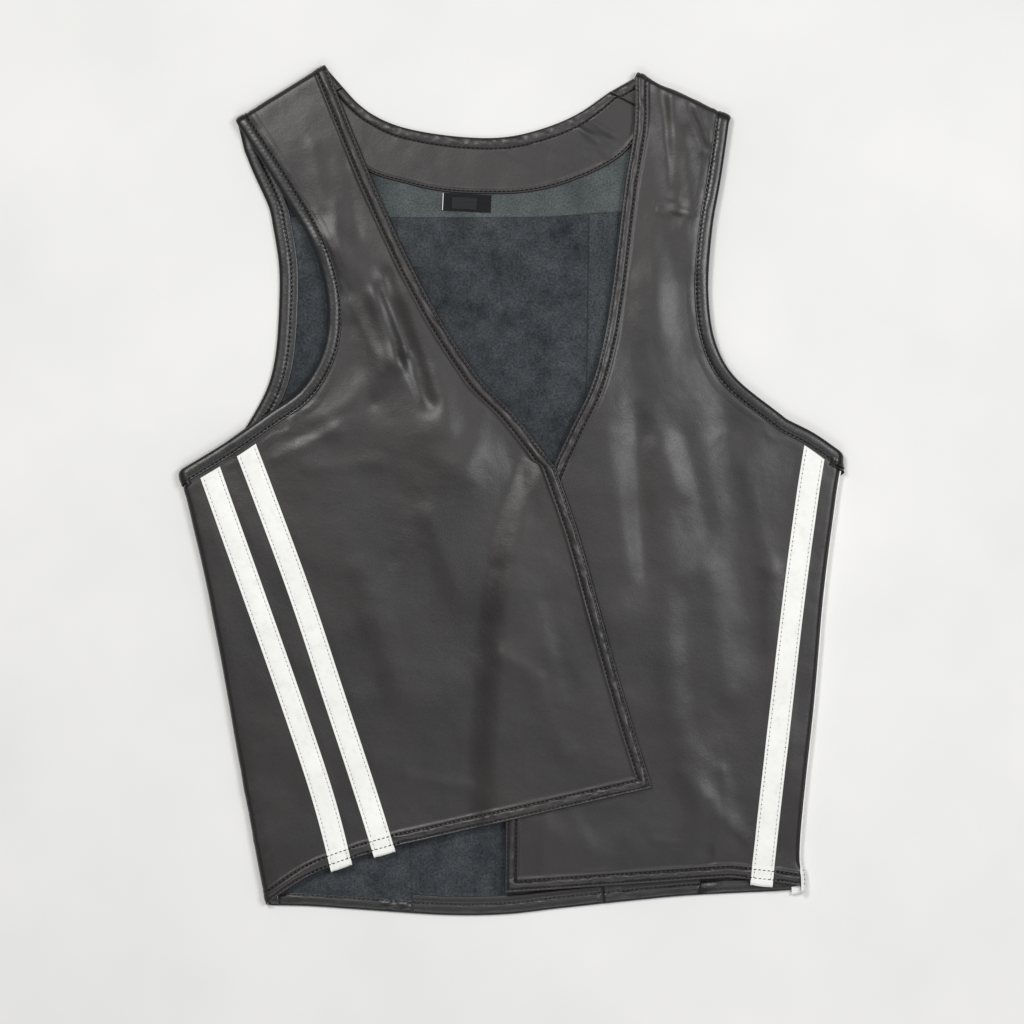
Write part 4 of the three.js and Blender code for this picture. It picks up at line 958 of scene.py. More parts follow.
# Relief of the outer face
def turned_relief(d):
    """Height over the plain leather at a distance from a turned edge with two rows of stitches."""
    puff = PUFF * arch((d - STITCH_OUTER) / (STITCH_INNER - STITCH_OUTER))
    lip = LIP * arch(d / STITCH_OUTER, 1)
    base = TURNED_OUT * (1 - ease(d, STITCH_INNER + 1.0, TURNED_WIDTH + 1.6))
    base = base + BEAD * bell(d - BEAD_LINE, BEAD_REACH)
    grooves = sum(bell(d - line, GROOVE_REACH) for line in (STITCH_OUTER, STITCH_INNER))
    return base + puff + lip - GROOVE * grooves


# Unevenness, as pairs of the size of its waves and their rise
FRONT_SWELL = ((48, 0.66), (19, 0.13), (6.5, 0.035))
FRONT_PUCKER = ((4.6, 0.38), (13, 0.24))
RIDGE_PUCKER = ((7, 0.8),)
BACK_SWELL = ((40, 0.25), (9, 0.07))
BACK_PUCKER = ((6, 0.35),)
ALLOWANCE_ROUGH = ((1.6, 0.2), (0.8, 0.14))
FACING_PUCKER = ((4.5, 0.45), (10, 0.3))
FACING_SWELL = ((16, 0.14),)
STRIPE_SWELL = ((14, 0.08),)
BINDING_WAVES = ((5.5, 0.9), (13, 0.5))
BINDING_EDGE_WAVES = ((9, 0.12),)

CALM_EDGE = 12.0
RIDGE_LINE, RIDGE_REACH, RIDGE = 12.2, 1.6, 0.3
HEM_ROLL = 0.5
HEM_PUFF = 0.55
HEM_GROOVE, HEM_GROOVE_REACH = 0.45, 0.6
ALLOWANCE_BESIDE_RISE = 0.45


def stripe_mask(sheet, stripes):
    mask = np.zeros(sheet.grid.shape[1])
    for first, last in stripes.values():
        mask[first : last + 1] = 1
    return mask


def dress_front(sheet, stripes, seed):
    """Creases the middle of a front and works out both faces of its leather."""
    x, y = sheet.grid[..., 0], sheet.grid[..., 1]
    striped = stripe_mask(sheet, stripes)[None, :]
    inside_edges = ease(np.minimum(np.minimum(sheet.edge, sheet.hem), sheet.arm), 0, CALM_EDGE)
    top_share = (1 - sheet.layer)[None, :] * sheet.shoulder_fade[:, None]
    crease = raised_lines(x, y, CREASES) + waves(sheet.grid, seed, FRONT_SWELL)
    sheet.push(np.nan_to_num(crease * mix(0.25, 1, inside_edges) * top_share * (1 - 0.7 * striped)))
    edge = np.where(np.arange(len(x))[:, None] < SHOULDER_ROWS, np.maximum(sheet.edge, 0.3), sheet.edge)
    d = np.minimum(edge, sheet.hem)
    pucker = 1 + waves(sheet.grid, seed + 5, FRONT_PUCKER)
    fade = np.maximum(1 - 2 * sheet.layer, 0)[None, :]
    fade = fade * np.where(sheet.hem < FAR, 1.0, sheet.shoulder_fade[:, None])
    relief = turned_relief(d) * np.where(d < STITCH_INNER, pucker, 1) * fade
    relief = np.where(striped > 0, TURNED_OUT * (sheet.hem <= TURNED_WIDTH) * fade, relief)
    ridge = RIDGE * bell(sheet.arm - RIDGE_LINE, RIDGE_REACH)
    ridge = ridge * (1 + waves(sheet.grid, seed + 8, RIDGE_PUCKER))
    sheet.above = HALF + relief + ridge * (1 - striped)
    inside = HALF + TURNED_IN * (1 - ease(d, TURNED_WIDTH - 1, TURNED_WIDTH + 1))
    roll = HEM_ROLL * arch(sheet.hem / BACK_HEM_STITCH) * pucker
    sheet.under = inside + roll * np.maximum(2 * sheet.layer - 1, 0)[None, :]


dress_front(right_sheet, right_stripes, 11)
dress_front(left_sheet, left_stripes, 11)


def dress_back(sheet, seed, hem_width=14.4, allowance=False):
    """Both faces of a back piece: the turned hem, and the open seam allowance where there is one."""
    x, y = sheet.grid[..., 0], sheet.grid[..., 1]
    rise = raised_lines(x, y, BACK_CREASES) + waves(sheet.grid, seed, BACK_SWELL)
    sheet.push(np.nan_to_num(np.maximum(rise, 0) * ease(sheet.hem, 0, CALM_EDGE)))
    hem = sheet.hem
    sheet.hem_width = hem_width
    relief = np.zeros(hem.shape)
    if allowance:
        edge = sheet.edge
        strip = FOLDED_IN + waves(sheet.grid, seed + 4, ALLOWANCE_ROUGH)
        strip = strip * (1 - ease(edge, ALLOWANCE_WIDTH - 0.5, ALLOWANCE_WIDTH + 0.4))
        second = ALLOWANCE_BESIDE_RISE * (1 - ease(edge, ALLOWANCE_BESIDE - 0.6, ALLOWANCE_BESIDE + 0.4))
        relief = np.maximum(strip, second)
    pucker = 1 + waves(sheet.grid, seed + 3, BACK_PUCKER)
    turned = FOLDED_IN + HEM_PUFF * arch(hem / BACK_HEM_STITCH) * pucker
    turned = turned - HEM_GROOVE * bell(hem - BACK_HEM_STITCH, HEM_GROOVE_REACH)
    turned = turned + raised_lines(x, y, HEM_LUMPS)
    relief = mix(turned, relief, ease(hem, hem_width - 0.4, hem_width + 0.4))
    sheet.above = HALF + relief
    sheet.under = np.full(hem.shape, HALF)


dress_back(back_right_sheet, 51, hem_width=9.6)
dress_back(back_left_sheet, 61, allowance=True)
dress_back(back_centre, 71)
dress_back(yoke, 81)


# Meshes
def add_object(name, data):
    obj = bpy.data.objects.new(name, data)
    bpy.context.scene.collection.objects.link(obj)
    return obj


def link(name, points, faces, materials, face_materials=None):
    mesh = bpy.data.meshes.new(name)
    points = metres(points)
    points[:, 2] = np.maximum(points[:, 2], 0)
    mesh.from_pydata(points.tolist(), [], faces)
    for material in materials:
        mesh.materials.append(material)
    if face_materials is not None:
        mesh.polygons.foreach_set("material_index", np.array(face_materials, np.int32))
    mesh.polygons.foreach_set("use_smooth", np.ones(len(mesh.polygons), bool))
    mesh.update()
    return add_object(name, mesh)


def facing_out(points, faces):
    """The faces, all turned round if they enclose a negative volume."""
    volume = 0.0
    for face in faces:
        a = points[face[0]]
        for b, c in zip(face[1:], face[2:]):
            volume += np.dot(a, np.cross(points[b], points[c]))
    return faces if volume > 0 else [face[::-1] for face in faces]


RIM_ANGLES = (50, 0, -50)


def shell(name, sheet, materials, nose=NOSE, region=None):
    """A closed shell on a grid, with rounded edges. The outer face takes the first material and the
    inner face the second, unless region(i, j) gives both numbers for a cell."""
    grid, normals = sheet.grid, sheet.normals
    present = ~np.isnan(grid[..., 0])
    cells = present[:-1, :-1] & present[:-1, 1:] & present[1:, :-1] & present[1:, 1:]
    top = grid + normals * sheet.above[..., None]
    low = grid - normals * sheet.under[..., None]
    following, before = {}, {}
    padded = np.pad(cells, 1)
    for di, dj, a, b in (
        (-1, 0, (0, 1), (0, 0)), (1, 0, (1, 0), (1, 1)), (0, -1, (0, 0), (1, 0)), (0, 1, (1, 1), (0, 1)),
    ):
        lone = cells & ~padded[1 + di : 1 + di + cells.shape[0], 1 + dj : 1 + dj + cells.shape[1]]
        for i, j in np.argwhere(lone):
            u, w = (i + a[0], j + a[1]), (i + b[0], j + b[1])
            following[u] = w
            before[w] = u
    outs = {v: np.cross(unit(grid[following[v]] - grid[before[v]]), normals[v]) for v in following}
    inner = np.nanmean(np.where(cells[..., None], (grid[:-1, :-1] + grid[1:, 1:]) / 2, np.nan), axis=(0, 1))
    if sum(np.dot(outs[v], grid[v] - inner) for v in outs) < 0:
        outs = {v: -out for v, out in outs.items()}
    rims = {}
    for v, out in outs.items():
        out = unit(out)
        height = (sheet.above[v] + sheet.under[v]) / 2
        centre = grid[v] - out * nose + normals[v] * (sheet.above[v] - sheet.under[v]) / 2
        top[v] = centre + normals[v] * height
        low[v] = centre - normals[v] * height
        rims[v] = [
            centre + normals[v] * height * math.sin(math.radians(a)) + out * nose * math.cos(math.radians(a))
            for a in RIM_ANGLES
        ]
    used = at_corners(cells) > 0
    number = np.full(present.shape, -1)
    number[used] = np.arange(used.sum())
    count = int(used.sum())
    points = [top[used], low[used]]
    rim_number = {}
    for v, ring in rims.items():
        rim_number[v] = 2 * count + len(RIM_ANGLES) * len(rim_number)
        points.append(ring)
    points = np.vstack(points)
    faces, slots = [], []
    for i, j in np.argwhere(cells):
        quad = [int(number[place]) for place in ((i, j), (i + 1, j), (i + 1, j + 1), (i, j + 1))]
        faces += [quad, [k + count for k in quad[::-1]]]
        slots += region(i, j) if region else (0, 1)

    def stack(v):
        low_number = int(number[v]) + count
        return [int(number[v]), *(rim_number[v] + k for k in range(len(RIM_ANGLES))), low_number]

    for u, w in following.items():
        at_u, at_w = stack(u), stack(w)
        for k in range(len(at_u) - 1):
            faces.append([at_w[k], at_u[k], at_u[k + 1], at_w[k + 1]])
            slots.append(0)
    return link(name, points, facing_out(points, faces), materials, slots)


# Materials, all from nodes on the object's own coordinates in metres
class Look:
    """A material in the making, with short ways to add nodes to it."""

    def __init__(self, name, **settings):
        self.material = bpy.data.materials.new(name)
        self.material.use_nodes = True
        self.nodes = self.material.node_tree.nodes
        self.links = self.material.node_tree.links
        self.shader = self.nodes["Principled BSDF"]
        self.place = self.nodes.new("ShaderNodeTexCoord").outputs["Object"]
        self.fill(self.shader, settings)

    def feed(self, socket, value):
        """Links another node's output to a socket, or sets a value there."""
        if isinstance(value, bpy.types.NodeSocket):
            self.links.new(value, socket)
        else:
            socket.default_value = value

    def fill(self, node, inputs):
        for name, value in inputs.items():
            self.feed(node.inputs[name.replace("_", " ")], value)
        return node

    def node(self, kind, **inputs):
        return self.fill(self.nodes.new(kind), inputs)

    def noise(self, size, detail=3.0, roughness=0.55, stretch=None):
        """Noise whose waves are about that size, in millimetres."""
        place = self.place
        if stretch is not None:
            place = self.node("ShaderNodeMapping", Scale=stretch, Vector=place).outputs["Vector"]
        node = self.node(
            "ShaderNodeTexNoise", Scale=1000 / size, Detail=detail, Roughness=roughness, Vector=place)
        return node.outputs["Fac"]

    def cells(self, size):
        node = self.node("ShaderNodeTexVoronoi", Scale=1000 / size, Vector=self.place)
        node.feature = "SMOOTH_F1"
        return node.outputs["Distance"]

    def ramp(self, value, *stops):
        node = self.node("ShaderNodeValToRGB", Fac=value)
        elements = node.color_ramp.elements
        while len(elements) < len(stops):
            elements.new(0.5)
        for element, (position, colour) in zip(elements, stops):
            element.position = position
            element.color = (*colour, 1.0)
        return node.outputs["Color"]

    def scaled(self, value, low, high):
        return self.node("ShaderNodeMapRange", To_Min=low, To_Max=high, Value=value).outputs["Result"]

    def added(self, a, b):
        node = self.node("ShaderNodeMath")
        for socket, value in zip(node.inputs, (a, b)):
            self.feed(socket, value)
        return node.outputs["Value"]

    def blended(self, kind, share, a, b):
        node = self.nodes.new("ShaderNodeMix")
        node.data_type = "RGBA"
        node.blend_type = kind
        for number, value in ((0, share), (6, a), (7, b)):
            self.feed(node.inputs[number], (*value, 1.0) if isinstance(value, tuple) else value)
        return node.outputs[2]

    def set(self, socket, value):
        self.links.new(value, self.shader.inputs[socket])

    def bump(self, *heights, strength=1.0):
        """Bumps on top of each other: pairs of a height from 0 to 1 and its size in millimetres."""
        below = {}
        for value, size in heights:
            node = self.node("ShaderNodeBump", Strength=strength, Distance=size / 1000, Height=value, **below)
            below = {"Normal": node.outputs["Normal"]}
        self.set("Normal", below["Normal"])


def smooth_leather(name, dark, light, brown, roughness=(0.31, 0.46)):
    look = Look(name, Specular_IOR_Level=0.42, Coat_Weight=0.05, Coat_Roughness=0.25)
    tone = look.ramp(look.noise(38, 4), (0.3, dark), (0.72, light))
    tone = look.blended("MIX", look.scaled(look.noise(70, 2), 0.0, 0.8), tone, brown)
    specks = look.ramp(look.noise(1.1, 3, 0.7), (0.35, (0.8, 0.8, 0.8)), (0.75, (1.15, 1.15, 1.15)))
    look.set("Base Color", look.blended("MULTIPLY", 1.0, tone, specks))
    broad = look.scaled(look.noise(62, 3), roughness[0] - 0.04, roughness[1] + 0.04)
    look.set("Roughness", look.added(broad, look.scaled(look.noise(1.6, 2), -0.05, 0.05)))
    look.bump((look.noise(13, 3), 0.24), (look.cells(1.25), 0.035), (look.noise(0.55, 2), 0.015))
    return look.material


FLECKS = ((0.5, 0.52, 0.54), (1.6, 1.6, 1.6))
STRONG_FLECKS = ((0.3, 0.3, 0.3), (2.3, 2.3, 2.3))


def suede(name, dark, light, streak=(1, 1, 1), flecks=FLECKS, grain=1.3, far=None):
    look = Look(name, Roughness=0.95, Specular_IOR_Level=0.15, Sheen_Weight=0.12, Sheen_Roughness=0.5)
    cloudy = look.ramp(look.noise(30, 6, 0.72, streak), (0.3, dark), (0.7, light))
    # painted shade: at the wearer's right end (object x below about -0.12 m) the flesh side turns a darker, bluer
    # colour, partly its own tone and partly shade painted in
    if far is not None:
        node = look.node("ShaderNodeSeparateXYZ", Vector=look.place)
        share = look.ramp(look.added(node.outputs["X"], 0.5), (0.38, (1, 1, 1)), (0.42, (0, 0, 0)))
        cloudy = look.blended("MIX", share, cloudy, far)
    fine = look.ramp(look.noise(grain, 4, 0.75), (0.33, flecks[0]), (0.68, flecks[1]))
    look.set("Base Color", look.blended("MULTIPLY", 1.0, cloudy, fine))
    look.bump((look.noise(5, 4), 0.22), (look.noise(0.9, 3, 0.8), 0.16), strength=0.8)
    return look.material


black_leather = smooth_leather(
    "black_leather", (0.0095, 0.009, 0.0095), (0.018, 0.017, 0.018), (0.020, 0.0148, 0.0122))
edge_leather = smooth_leather(
    "edge_leather", (0.008, 0.0075, 0.008), (0.014, 0.0135, 0.014), (0.0135, 0.0115, 0.0105), (0.26, 0.38))
blue_flesh = suede("flesh_side_blue", (0.015, 0.018, 0.021), (0.062, 0.068, 0.073), grain=1.6)
# the yoke's grey flesh side, with a darker colour at its right end that is partly painted shade
grey_flesh = suede("flesh_side_grey", (0.048, 0.056, 0.057), (0.1, 0.111, 0.11), far=(0.022, 0.027, 0.03))
speckled = suede(
    "seam_allowance", (0.026, 0.03, 0.033), (0.05, 0.056, 0.06), (1, 0.4, 1), STRONG_FLECKS, grain=1.0)
allowance_beside = suede("allowance_beside", (0.036, 0.042, 0.045), (0.06, 0.068, 0.072), (1, 0.4, 1))


def white_material():
    look = Look("white_leather", Specular_IOR_Level=0.4)
    tone = look.ramp(look.noise(30, 4), (0.3, (0.80, 0.80, 0.77)), (0.7, (0.89, 0.89, 0.86)))
    dirt = look.ramp(look.noise(6, 5, 0.7), (0.3, (0.92, 0.91, 0.88)), (0.5, (1, 1, 1)))
    look.set("Base Color", look.blended("MULTIPLY", 1.0, tone, dirt))
    look.set("Roughness", look.scaled(look.noise(9, 3), 0.42, 0.6))
    look.bump((look.noise(7, 3), 0.15), (look.cells(1.0), 0.05))
    return look.material


WEAVE = 3.2


def label_material(name, colour):
    look = Look(name, Roughness=0.8, Specular_IOR_Level=0.25)
    wave = look.node("ShaderNodeTexWave", Scale=1000 / WEAVE, Vector=look.place)
    wave.bands_direction = "Y"
    dark, light = (tuple(c * share for c in colour) for share in (0.7, 1.3))
    tone = look.ramp(wave.outputs["Fac"], (0.2, dark), (0.8, light))
    worn = look.ramp(look.noise(1), (0.3, (0.7,) * 3), (0.7, (1.2,) * 3))
    look.set("Base Color", look.blended("MULTIPLY", 0.5, tone, worn))
    look.bump((wave.outputs["Fac"], 0.08))
    return look.material


def thread_material(name, colour, roughness=0.6, specular=0.3):
    look = Look(name, Roughness=roughness, Specular_IOR_Level=specular)
    look.set("Base Color", look.ramp(look.noise(0.8), (0.3, tuple(c * 0.75 for c in colour)), (0.7, colour)))
    look.bump((look.noise(0.3), 0.05))
    return look.material


white_leather = white_material()
label_cloth = label_material("label_cloth", (0.008, 0.008, 0.011))
tab_cloth = label_material("tab_cloth", (0.02, 0.021, 0.024))
black_thread = thread_material("black_thread", (0.006, 0.006, 0.007), 0.85, 0.15)
white_thread = thread_material("white_thread", (0.66, 0.66, 0.63))
# painted shade: the dark colour of the discs set in the stripes' needle holes
hole_shade = thread_material("stitch_hole", (0.05, 0.05, 0.05), 0.9, 0.1)


# Fronts and back
def wear(obj, slot, *nodes):
    """Puts a piece in its slot and on the body, in place of the nodes that it stands for."""
    if nodes:
        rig.replaces(obj, *nodes)
    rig.slot(obj, slot)
    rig.ride(obj, "root")
    return obj


def front_region(sheet):
    """Smooth leather on the inside too where an edge is turned in."""
    turned = np.minimum(sheet.edge, sheet.hem) <= TURNED_WIDTH
    return lambda i, j: (0, 2 if turned[i, j] or turned[min(i + 1, len(turned) - 1), j] else 1)


pieces = {}
for name, sheet in (("front_right", right_sheet), ("front_left", left_sheet)):
    materials = [black_leather, blue_flesh, edge_leather]
    leather = shell(name + "_leather", sheet, materials, region=front_region(sheet))
    pieces[name + "_leather"] = wear(leather, "black_leather", name)
pieces["yoke_leather"] = wear(
    shell("yoke_leather", yoke, [grey_flesh, black_leather], nose=BACK_NOSE), "flesh_side_grey", "back_yoke")


def back_region(sheet):
    """Smooth leather on the turned hem, and the rough seam allowance with the strip beside it."""
    hem_rows = sheet.grid.shape[0] - 1 - len([d for d in BACK_HEM_LINES if d <= sheet.hem_width])
    last = sheet.grid.shape[1] - 1
    rough = last - len([d for d in ALLOWANCE_LINES if d <= ALLOWANCE_WIDTH])
    beside = last - len([d for d in ALLOWANCE_LINES if d <= ALLOWANCE_BESIDE])

    def pick(i, j):
        if i >= hem_rows:
            return 2, 1
        if sheet is not back_left_sheet or j < beside:
            return 0, 1
        return (3 if j >= rough else 4), 1

    return pick


back_sheets = {"centre": back_centre, "right": back_right_sheet, "left": back_left_sheet}
for side, sheet in back_sheets.items():
    name = f"back_{side}_leather"
    node = "back_centre" if side == "centre" else "back_side_" + side
    materials = [blue_flesh, black_leather, edge_leather, speckled, allowance_beside]
    leather = shell(name, sheet, materials, nose=BACK_NOSE, region=back_region(sheet))
    pieces[name] = wear(leather, "flesh_side_blue", node)


# Facings
FACING_PLACES = (
    0, 0.7, 1.4, 2.2, 3.4, 4.6, 5.8, 6.8, 7.4, 7.7, 8.0, 8.3, 8.7, 9.4, 10.6, 13, 16, 19, 22, 25, 28, 30,
)
FACING_END_PLACES = (6.0, 4.6, 3.5, 2.9, 2.5, 2.0, 1.6, 1.1, 0.6, 0)
BACK_FACING_WIDTH = 43.0
FACING_PUFF = 0.75
FACING_RIM, FACING_LIP = 0.42, 0.34
FACING_GROOVE, FACING_GROOVE_REACH = 0.34, 0.5
FACING_EDGE_GROOVE, FACING_EDGE_GROOVE_REACH = 0.3, 0.45


def facing(name, node, upper, lower, steps, width, seed):
    """A sewn down strip of smooth leather, with its sheet and its two rows of stitches."""
    places = [*FACING_PLACES, *(width - d for d in FACING_END_PLACES)]
    places = [p for k, p in enumerate(places) if k == 0 or p > places[k - 1]]
    t = np.linspace(0, 1, steps + 1)
    grid = np.array([mix(upper(t), lower(t), share) for share in np.array(places) / width])
    grid[..., 2] = FACING_FLOOR + FACING_THICK / 2
    sheet = Sheet(grid, 1, FAR, FAR)
    if sheet.normals[..., 2].mean() < 0:
        sheet.normals = -sheet.normals
    d = np.array(places)[:, None]
    from_end = width - d
    pucker = 1 + waves(sheet.grid, seed, FACING_PUCKER)
    puff = FACING_PUFF * arch(d / FACING_STITCH, 0.6) * pucker
    rim = FACING_RIM * (1 - ease(from_end, 2.6, 4.2)) + FACING_LIP * arch(from_end / FACING_EDGE_STITCH, 1)
    grooves = FACING_GROOVE * bell(d - FACING_STITCH, FACING_GROOVE_REACH)
    grooves = grooves + FACING_EDGE_GROOVE * bell(from_end - FACING_EDGE_STITCH, FACING_EDGE_GROOVE_REACH)
    x, y = grid[..., 0], grid[..., 1]
    wrinkles = raised_lines(x, y, FACING_CREASES) + waves(sheet.grid, seed + 2, FACING_SWELL)
    sheet.above = FACING_THICK / 2 + puff + rim - grooves + wrinkles * ease(from_end, 1, 5) * ease(d, 6, 10)
    sheet.under = np.full(x.shape, FACING_THICK / 2)
    obj = wear(shell(name, sheet, [black_leather, grey_flesh], nose=STRIP_NOSE), "black_leather", node)
    edge_row = int(np.argmin(np.abs(np.array(places) - (width - FACING_EDGE_STITCH))))
    return obj, sheet, (places.index(FACING_STITCH), edge_row)


neck_path = Path(BACK_NECK)


def facing_end(shoulder):
    neck, arm = flat(shoulder["seam_neck"]), flat(shoulder["seam_arm"])
    return neck + unit(arm - neck) * FACING_WIDTH


facing_path = Path([facing_end(RIGHT_SHOULDER), *FACING_EDGE, facing_end(LEFT_SHOULDER)])
down_a_gap = np.array([0, -SEAM_GAP, 0])
facings = {"back": facing(
    "neck_facing_leather", "neck_facing_back", lambda t: neck_path.at(t) + down_a_gap,
    lambda t: facing_path.at(t) + down_a_gap, 150, BACK_FACING_WIDTH, 91,
)}


def front_facing(name, node, shoulder, seed):
    away = shoulder_direction(shoulder)
    neck = flat(shoulder["seam_neck"])
    inward = unit(flat(shoulder["seam_arm"]) - neck)
    start = neck + away * SEAM_GAP + inward * FACING_INSET
    end = flat(shoulder["neck"]) - away * FACING_END + inward * FACING_INSET
    line = lambda t: start + (end - start) * np.asarray(t)[:, None]
    width = FACING_WIDTH - FACING_INSET
    return facing(name, node, line, lambda t: line(t) + inward * width, 14, width, seed)


for side, shoulder, seed in (("right", RIGHT_SHOULDER, 101), ("left", LEFT_SHOULDER, 111)):
    facings[side] = front_facing(f"facing_{side}_leather", f"facing_front_{side}", shoulder, seed)
for obj, _, _ in facings.values():
    pieces[obj.name] = obj


# Stripes
HEM_TURNS = (0, 30, 60, 90, 120, 150, 180)
STRIPE_SEED = 120
STRIPE_GROOVE, STRIPE_GROOVE_REACH = 0.22, 0.5
STRIPE_MIDDLE, STRIPE_MIDDLE_FROM = 0.14, 6.0


def stripe(key, sheet, columns, under_run):
    """A strip that lies on some columns of a front, wraps round its hem and runs on underneath."""
    first, last = columns
    start = sheet.first + 1 + TOP_LINES.index(BINDING_LINE)
    cut = np.s_[start:, first : last + 1]
    base, normals = sheet.grid[cut], sheet.normals[cut]
    outer = (HALF + TURNED_OUT * (sheet.hem <= TURNED_WIDTH) * np.maximum(1 - 2 * sheet.layer, 0))[cut]
    inner = HALF + TURNED_IN
    lift = SEAM_GAP + STRIPE_THICK / 2
    rows = list(base + normals * (outer + lift)[..., None])
    edge_point, edge_normal, edge_outer = base[-1], normals[-1], outer[-1]
    down = square_to(base[-1] - base[-2], edge_normal)
    thick = edge_outer + inner
    radius = thick / 2 + lift
    middle_up = (edge_outer - inner) / 2
    reach = STRIPE_REACH - (thick / 2 + SEAM_GAP + STRIPE_THICK)
    for degrees in HEM_TURNS:
        angle = math.radians(degrees)
        up = (middle_up + radius * math.cos(angle))[:, None]
        out = (reach + radius * math.sin(angle))[:, None]
        rows.append(edge_point + edge_normal * up + down * out)
    for share in (0.5, 1):
        up = (middle_up - radius)[:, None]
        rows.append(edge_point + edge_normal * up + down * mix(reach, -under_run, share)[:, None])
    grid = np.array(rows)
    on = Sheet(grid, 1, FAR, FAR)
    if np.dot(on.normals[3, 1], normals[3, 1]) < 0:
        on.normals = -on.normals
    d = lengths_along(grid[4])
    d = np.minimum(d, d[-1] - d)
    groove = STRIPE_GROOVE * bell(d - STRIPE_STITCH, STRIPE_GROOVE_REACH)
    middle = STRIPE_MIDDLE * ease(d, STRIPE_STITCH, STRIPE_MIDDLE_FROM)
    on.above = STRIPE_THICK / 2 + (middle - groove)[None, :] + waves(grid, STRIPE_SEED, STRIPE_SWELL)
    on.under = np.full(grid.shape[:2], STRIPE_THICK / 2)
    on.body_rows = len(base)
    on.stitch_columns = [int(np.argmin(np.abs(d[: len(d) // 2] - STRIPE_STITCH)))]
    on.stitch_columns.append(len(d) - 1 - on.stitch_columns[0])
    name = f"stripe_{key}_leather"
    strip = shell(name, on, [white_leather, white_leather], nose=STRIP_NOSE)
    pieces[name] = wear(strip, "white_leather", "stripe_" + key)
    return on


stripes = {}
for key, sheet, columns, under_run in (
    ("right_outer", right_sheet, right_stripes["outer"], STRIPE_UNDER_RUN),
    ("right_inner", right_sheet, right_stripes["inner"], STRIPE_UNDER_RUN),
    ("left_outer", left_sheet, left_stripes["outer"], STRIPE_UNDER_RUN_AT_FOLD),
    ("left_inner", left_sheet, left_stripes["inner"], STRIPE_UNDER_RUN),
):
    stripes[key] = stripe(key, sheet, columns, under_run)


# Armhole bindings: a folded strip carried round the whole edge
BINDING_STEP = STITCH_PITCH / 3
BINDING_PUCKER, BINDING_PUCKER_LINE, BINDING_PUCKER_REACH = 0.13, 6.8, 2.2
UNEVEN_FROM, DRAWN_IN_FROM = 8.5, 9.4
BINDING_SECTION = [
    (9.3, 0.72), (9.4, 1.15), (9.2, 1.46), (8.75, 1.55), (8.35, 1.36), (8.0, 1.16), (7.6, 1.36), (7.0, 1.7),
    (5.8, 2.0), (4.4, 2.12), (2.9, 2.12), (1.5, 2.0), (0.4, 1.72), (-0.45, 1.2), (-0.95, 0.6), (-1.1, 0),
]
BINDING_INSIDE = [
    (8.35, 1.26), (8.9, 1.42), (10.4, 1.4), (11.8, 1.36),
    (12.7, 1.26), (13.1, 1.0), (13.15, 0.72), (12.8, 0.66),
]


def edge_frames(sheet, places, facing=1):
    """Places, directions into the leather and normals, from pairs of grid points at and inside an edge."""
    p = np.array([sheet.grid[i, j] for i, j, _, _ in places])
    inner = np.array([sheet.grid[a, b] for _, _, a, b in places])
    normal = np.array([sheet.normals[i, j] for i, j, _, _ in places])
    return p, unit(inner - p), normal * facing


def panel_edge(sheet, first):
    """Pairs of grid points along the bound edge of a panel, from the side to its upper end."""
    count = sheet.count
    places = [(first, j, first + 2, j) for j in range(count)]
    places.append((first, count, first + 2, count + 2))
    return places + [(i, count, i, count + 2) for i in range(first - 1, -1, -1)]


def smooth_ring(values, reach):
    offsets = range(-reach, reach + 1)
    weights = [math.exp(-((2 * k / (reach + 1)) ** 2)) for k in offsets]
    return sum(np.roll(values, k, axis=0) * w for k, w in zip(offsets, weights)) / sum(weights)


def closed(values):
    return np.vstack([values, values[:1]])


def binding_frames(*groups):
    """Places round a bound edge, with the directions into the leather and up from it."""
    p, inward, normal = (np.vstack([group[k] for group in groups]) for k in range(3))
    keep = np.diff(lengths_along(closed(p))) > 2 * SEAM_GAP
    p, inward, normal = p[keep], inward[keep], normal[keep]
    along = lengths_along(closed(p))
    count = int(along[-1] / BINDING_STEP)
    at = np.arange(count) * along[-1] / count
    p, inward, normal = (read_along(at, along, closed(values)) for values in (p, inward, normal))
    p = smooth_ring(p, 2)
    tangent = unit(np.roll(p, -1, axis=0) - np.roll(p, 1, axis=0))
    into = square_to(smooth_ring(unit(inward), 10), tangent)
    up = square_to(smooth_ring(unit(normal), 3), tangent, into)
    return p, into, up, at


def binding(name, node, frames, seed):
    """A closed ring: the binding's section carried along the frames."""
    p, into, up, at = frames
    groove = [a for a, _ in BINDING_SECTION].index(BINDING_STITCH)
    section = BINDING_SECTION + [(a, -u) for a, u in BINDING_SECTION[-2 : groove - 1 : -1] + BINDING_INSIDE]
    outer_count = len(section) - 1
    section += [(-0.25, -0.68), (-0.25, 0.68), (8.9, 0.68)]
    wave = np.sin(2 * math.pi * at / STITCH_PITCH) + waves(p, seed, BINDING_WAVES)
    lying_flat = smooth_ring(ease(np.abs(up[:, 2]), 0.4, 1.0), 14)
    rings = []
    for k, (a, u) in enumerate(section):
        outside = k < outer_count
        pucker = BINDING_PUCKER * bell(a - BINDING_PUCKER_LINE, BINDING_PUCKER_REACH) * np.sign(u) * outside
        height = np.broadcast_to(u + pucker * wave, at.shape)
        width = a + (waves(p, seed + 2, BINDING_EDGE_WAVES) if outside and a > UNEVEN_FROM else 0)
        width = np.where(a > DRAWN_IN_FROM, mix(BINDING_STITCH + 0.25 * (a - 8.4), width, lying_flat), width)
        width = np.broadcast_to(width, at.shape)
        rings.append(p + into * width[:, None] + up * height[:, None])
    grid = np.stack(rings, axis=1)
    count, around = grid.shape[:2]
    number = lambda k, s: int((k % count) * around + s % around)
    faces = [
        [number(k, s), number(k + 1, s), number(k + 1, s + 1), number(k, s + 1)]
        for k in range(count) for s in range(around)
    ]
    points = grid.reshape(-1, 3)
    leather = link(name, points, facing_out(points, faces), [edge_leather])
    pieces[name] = wear(leather, "black_leather", node)


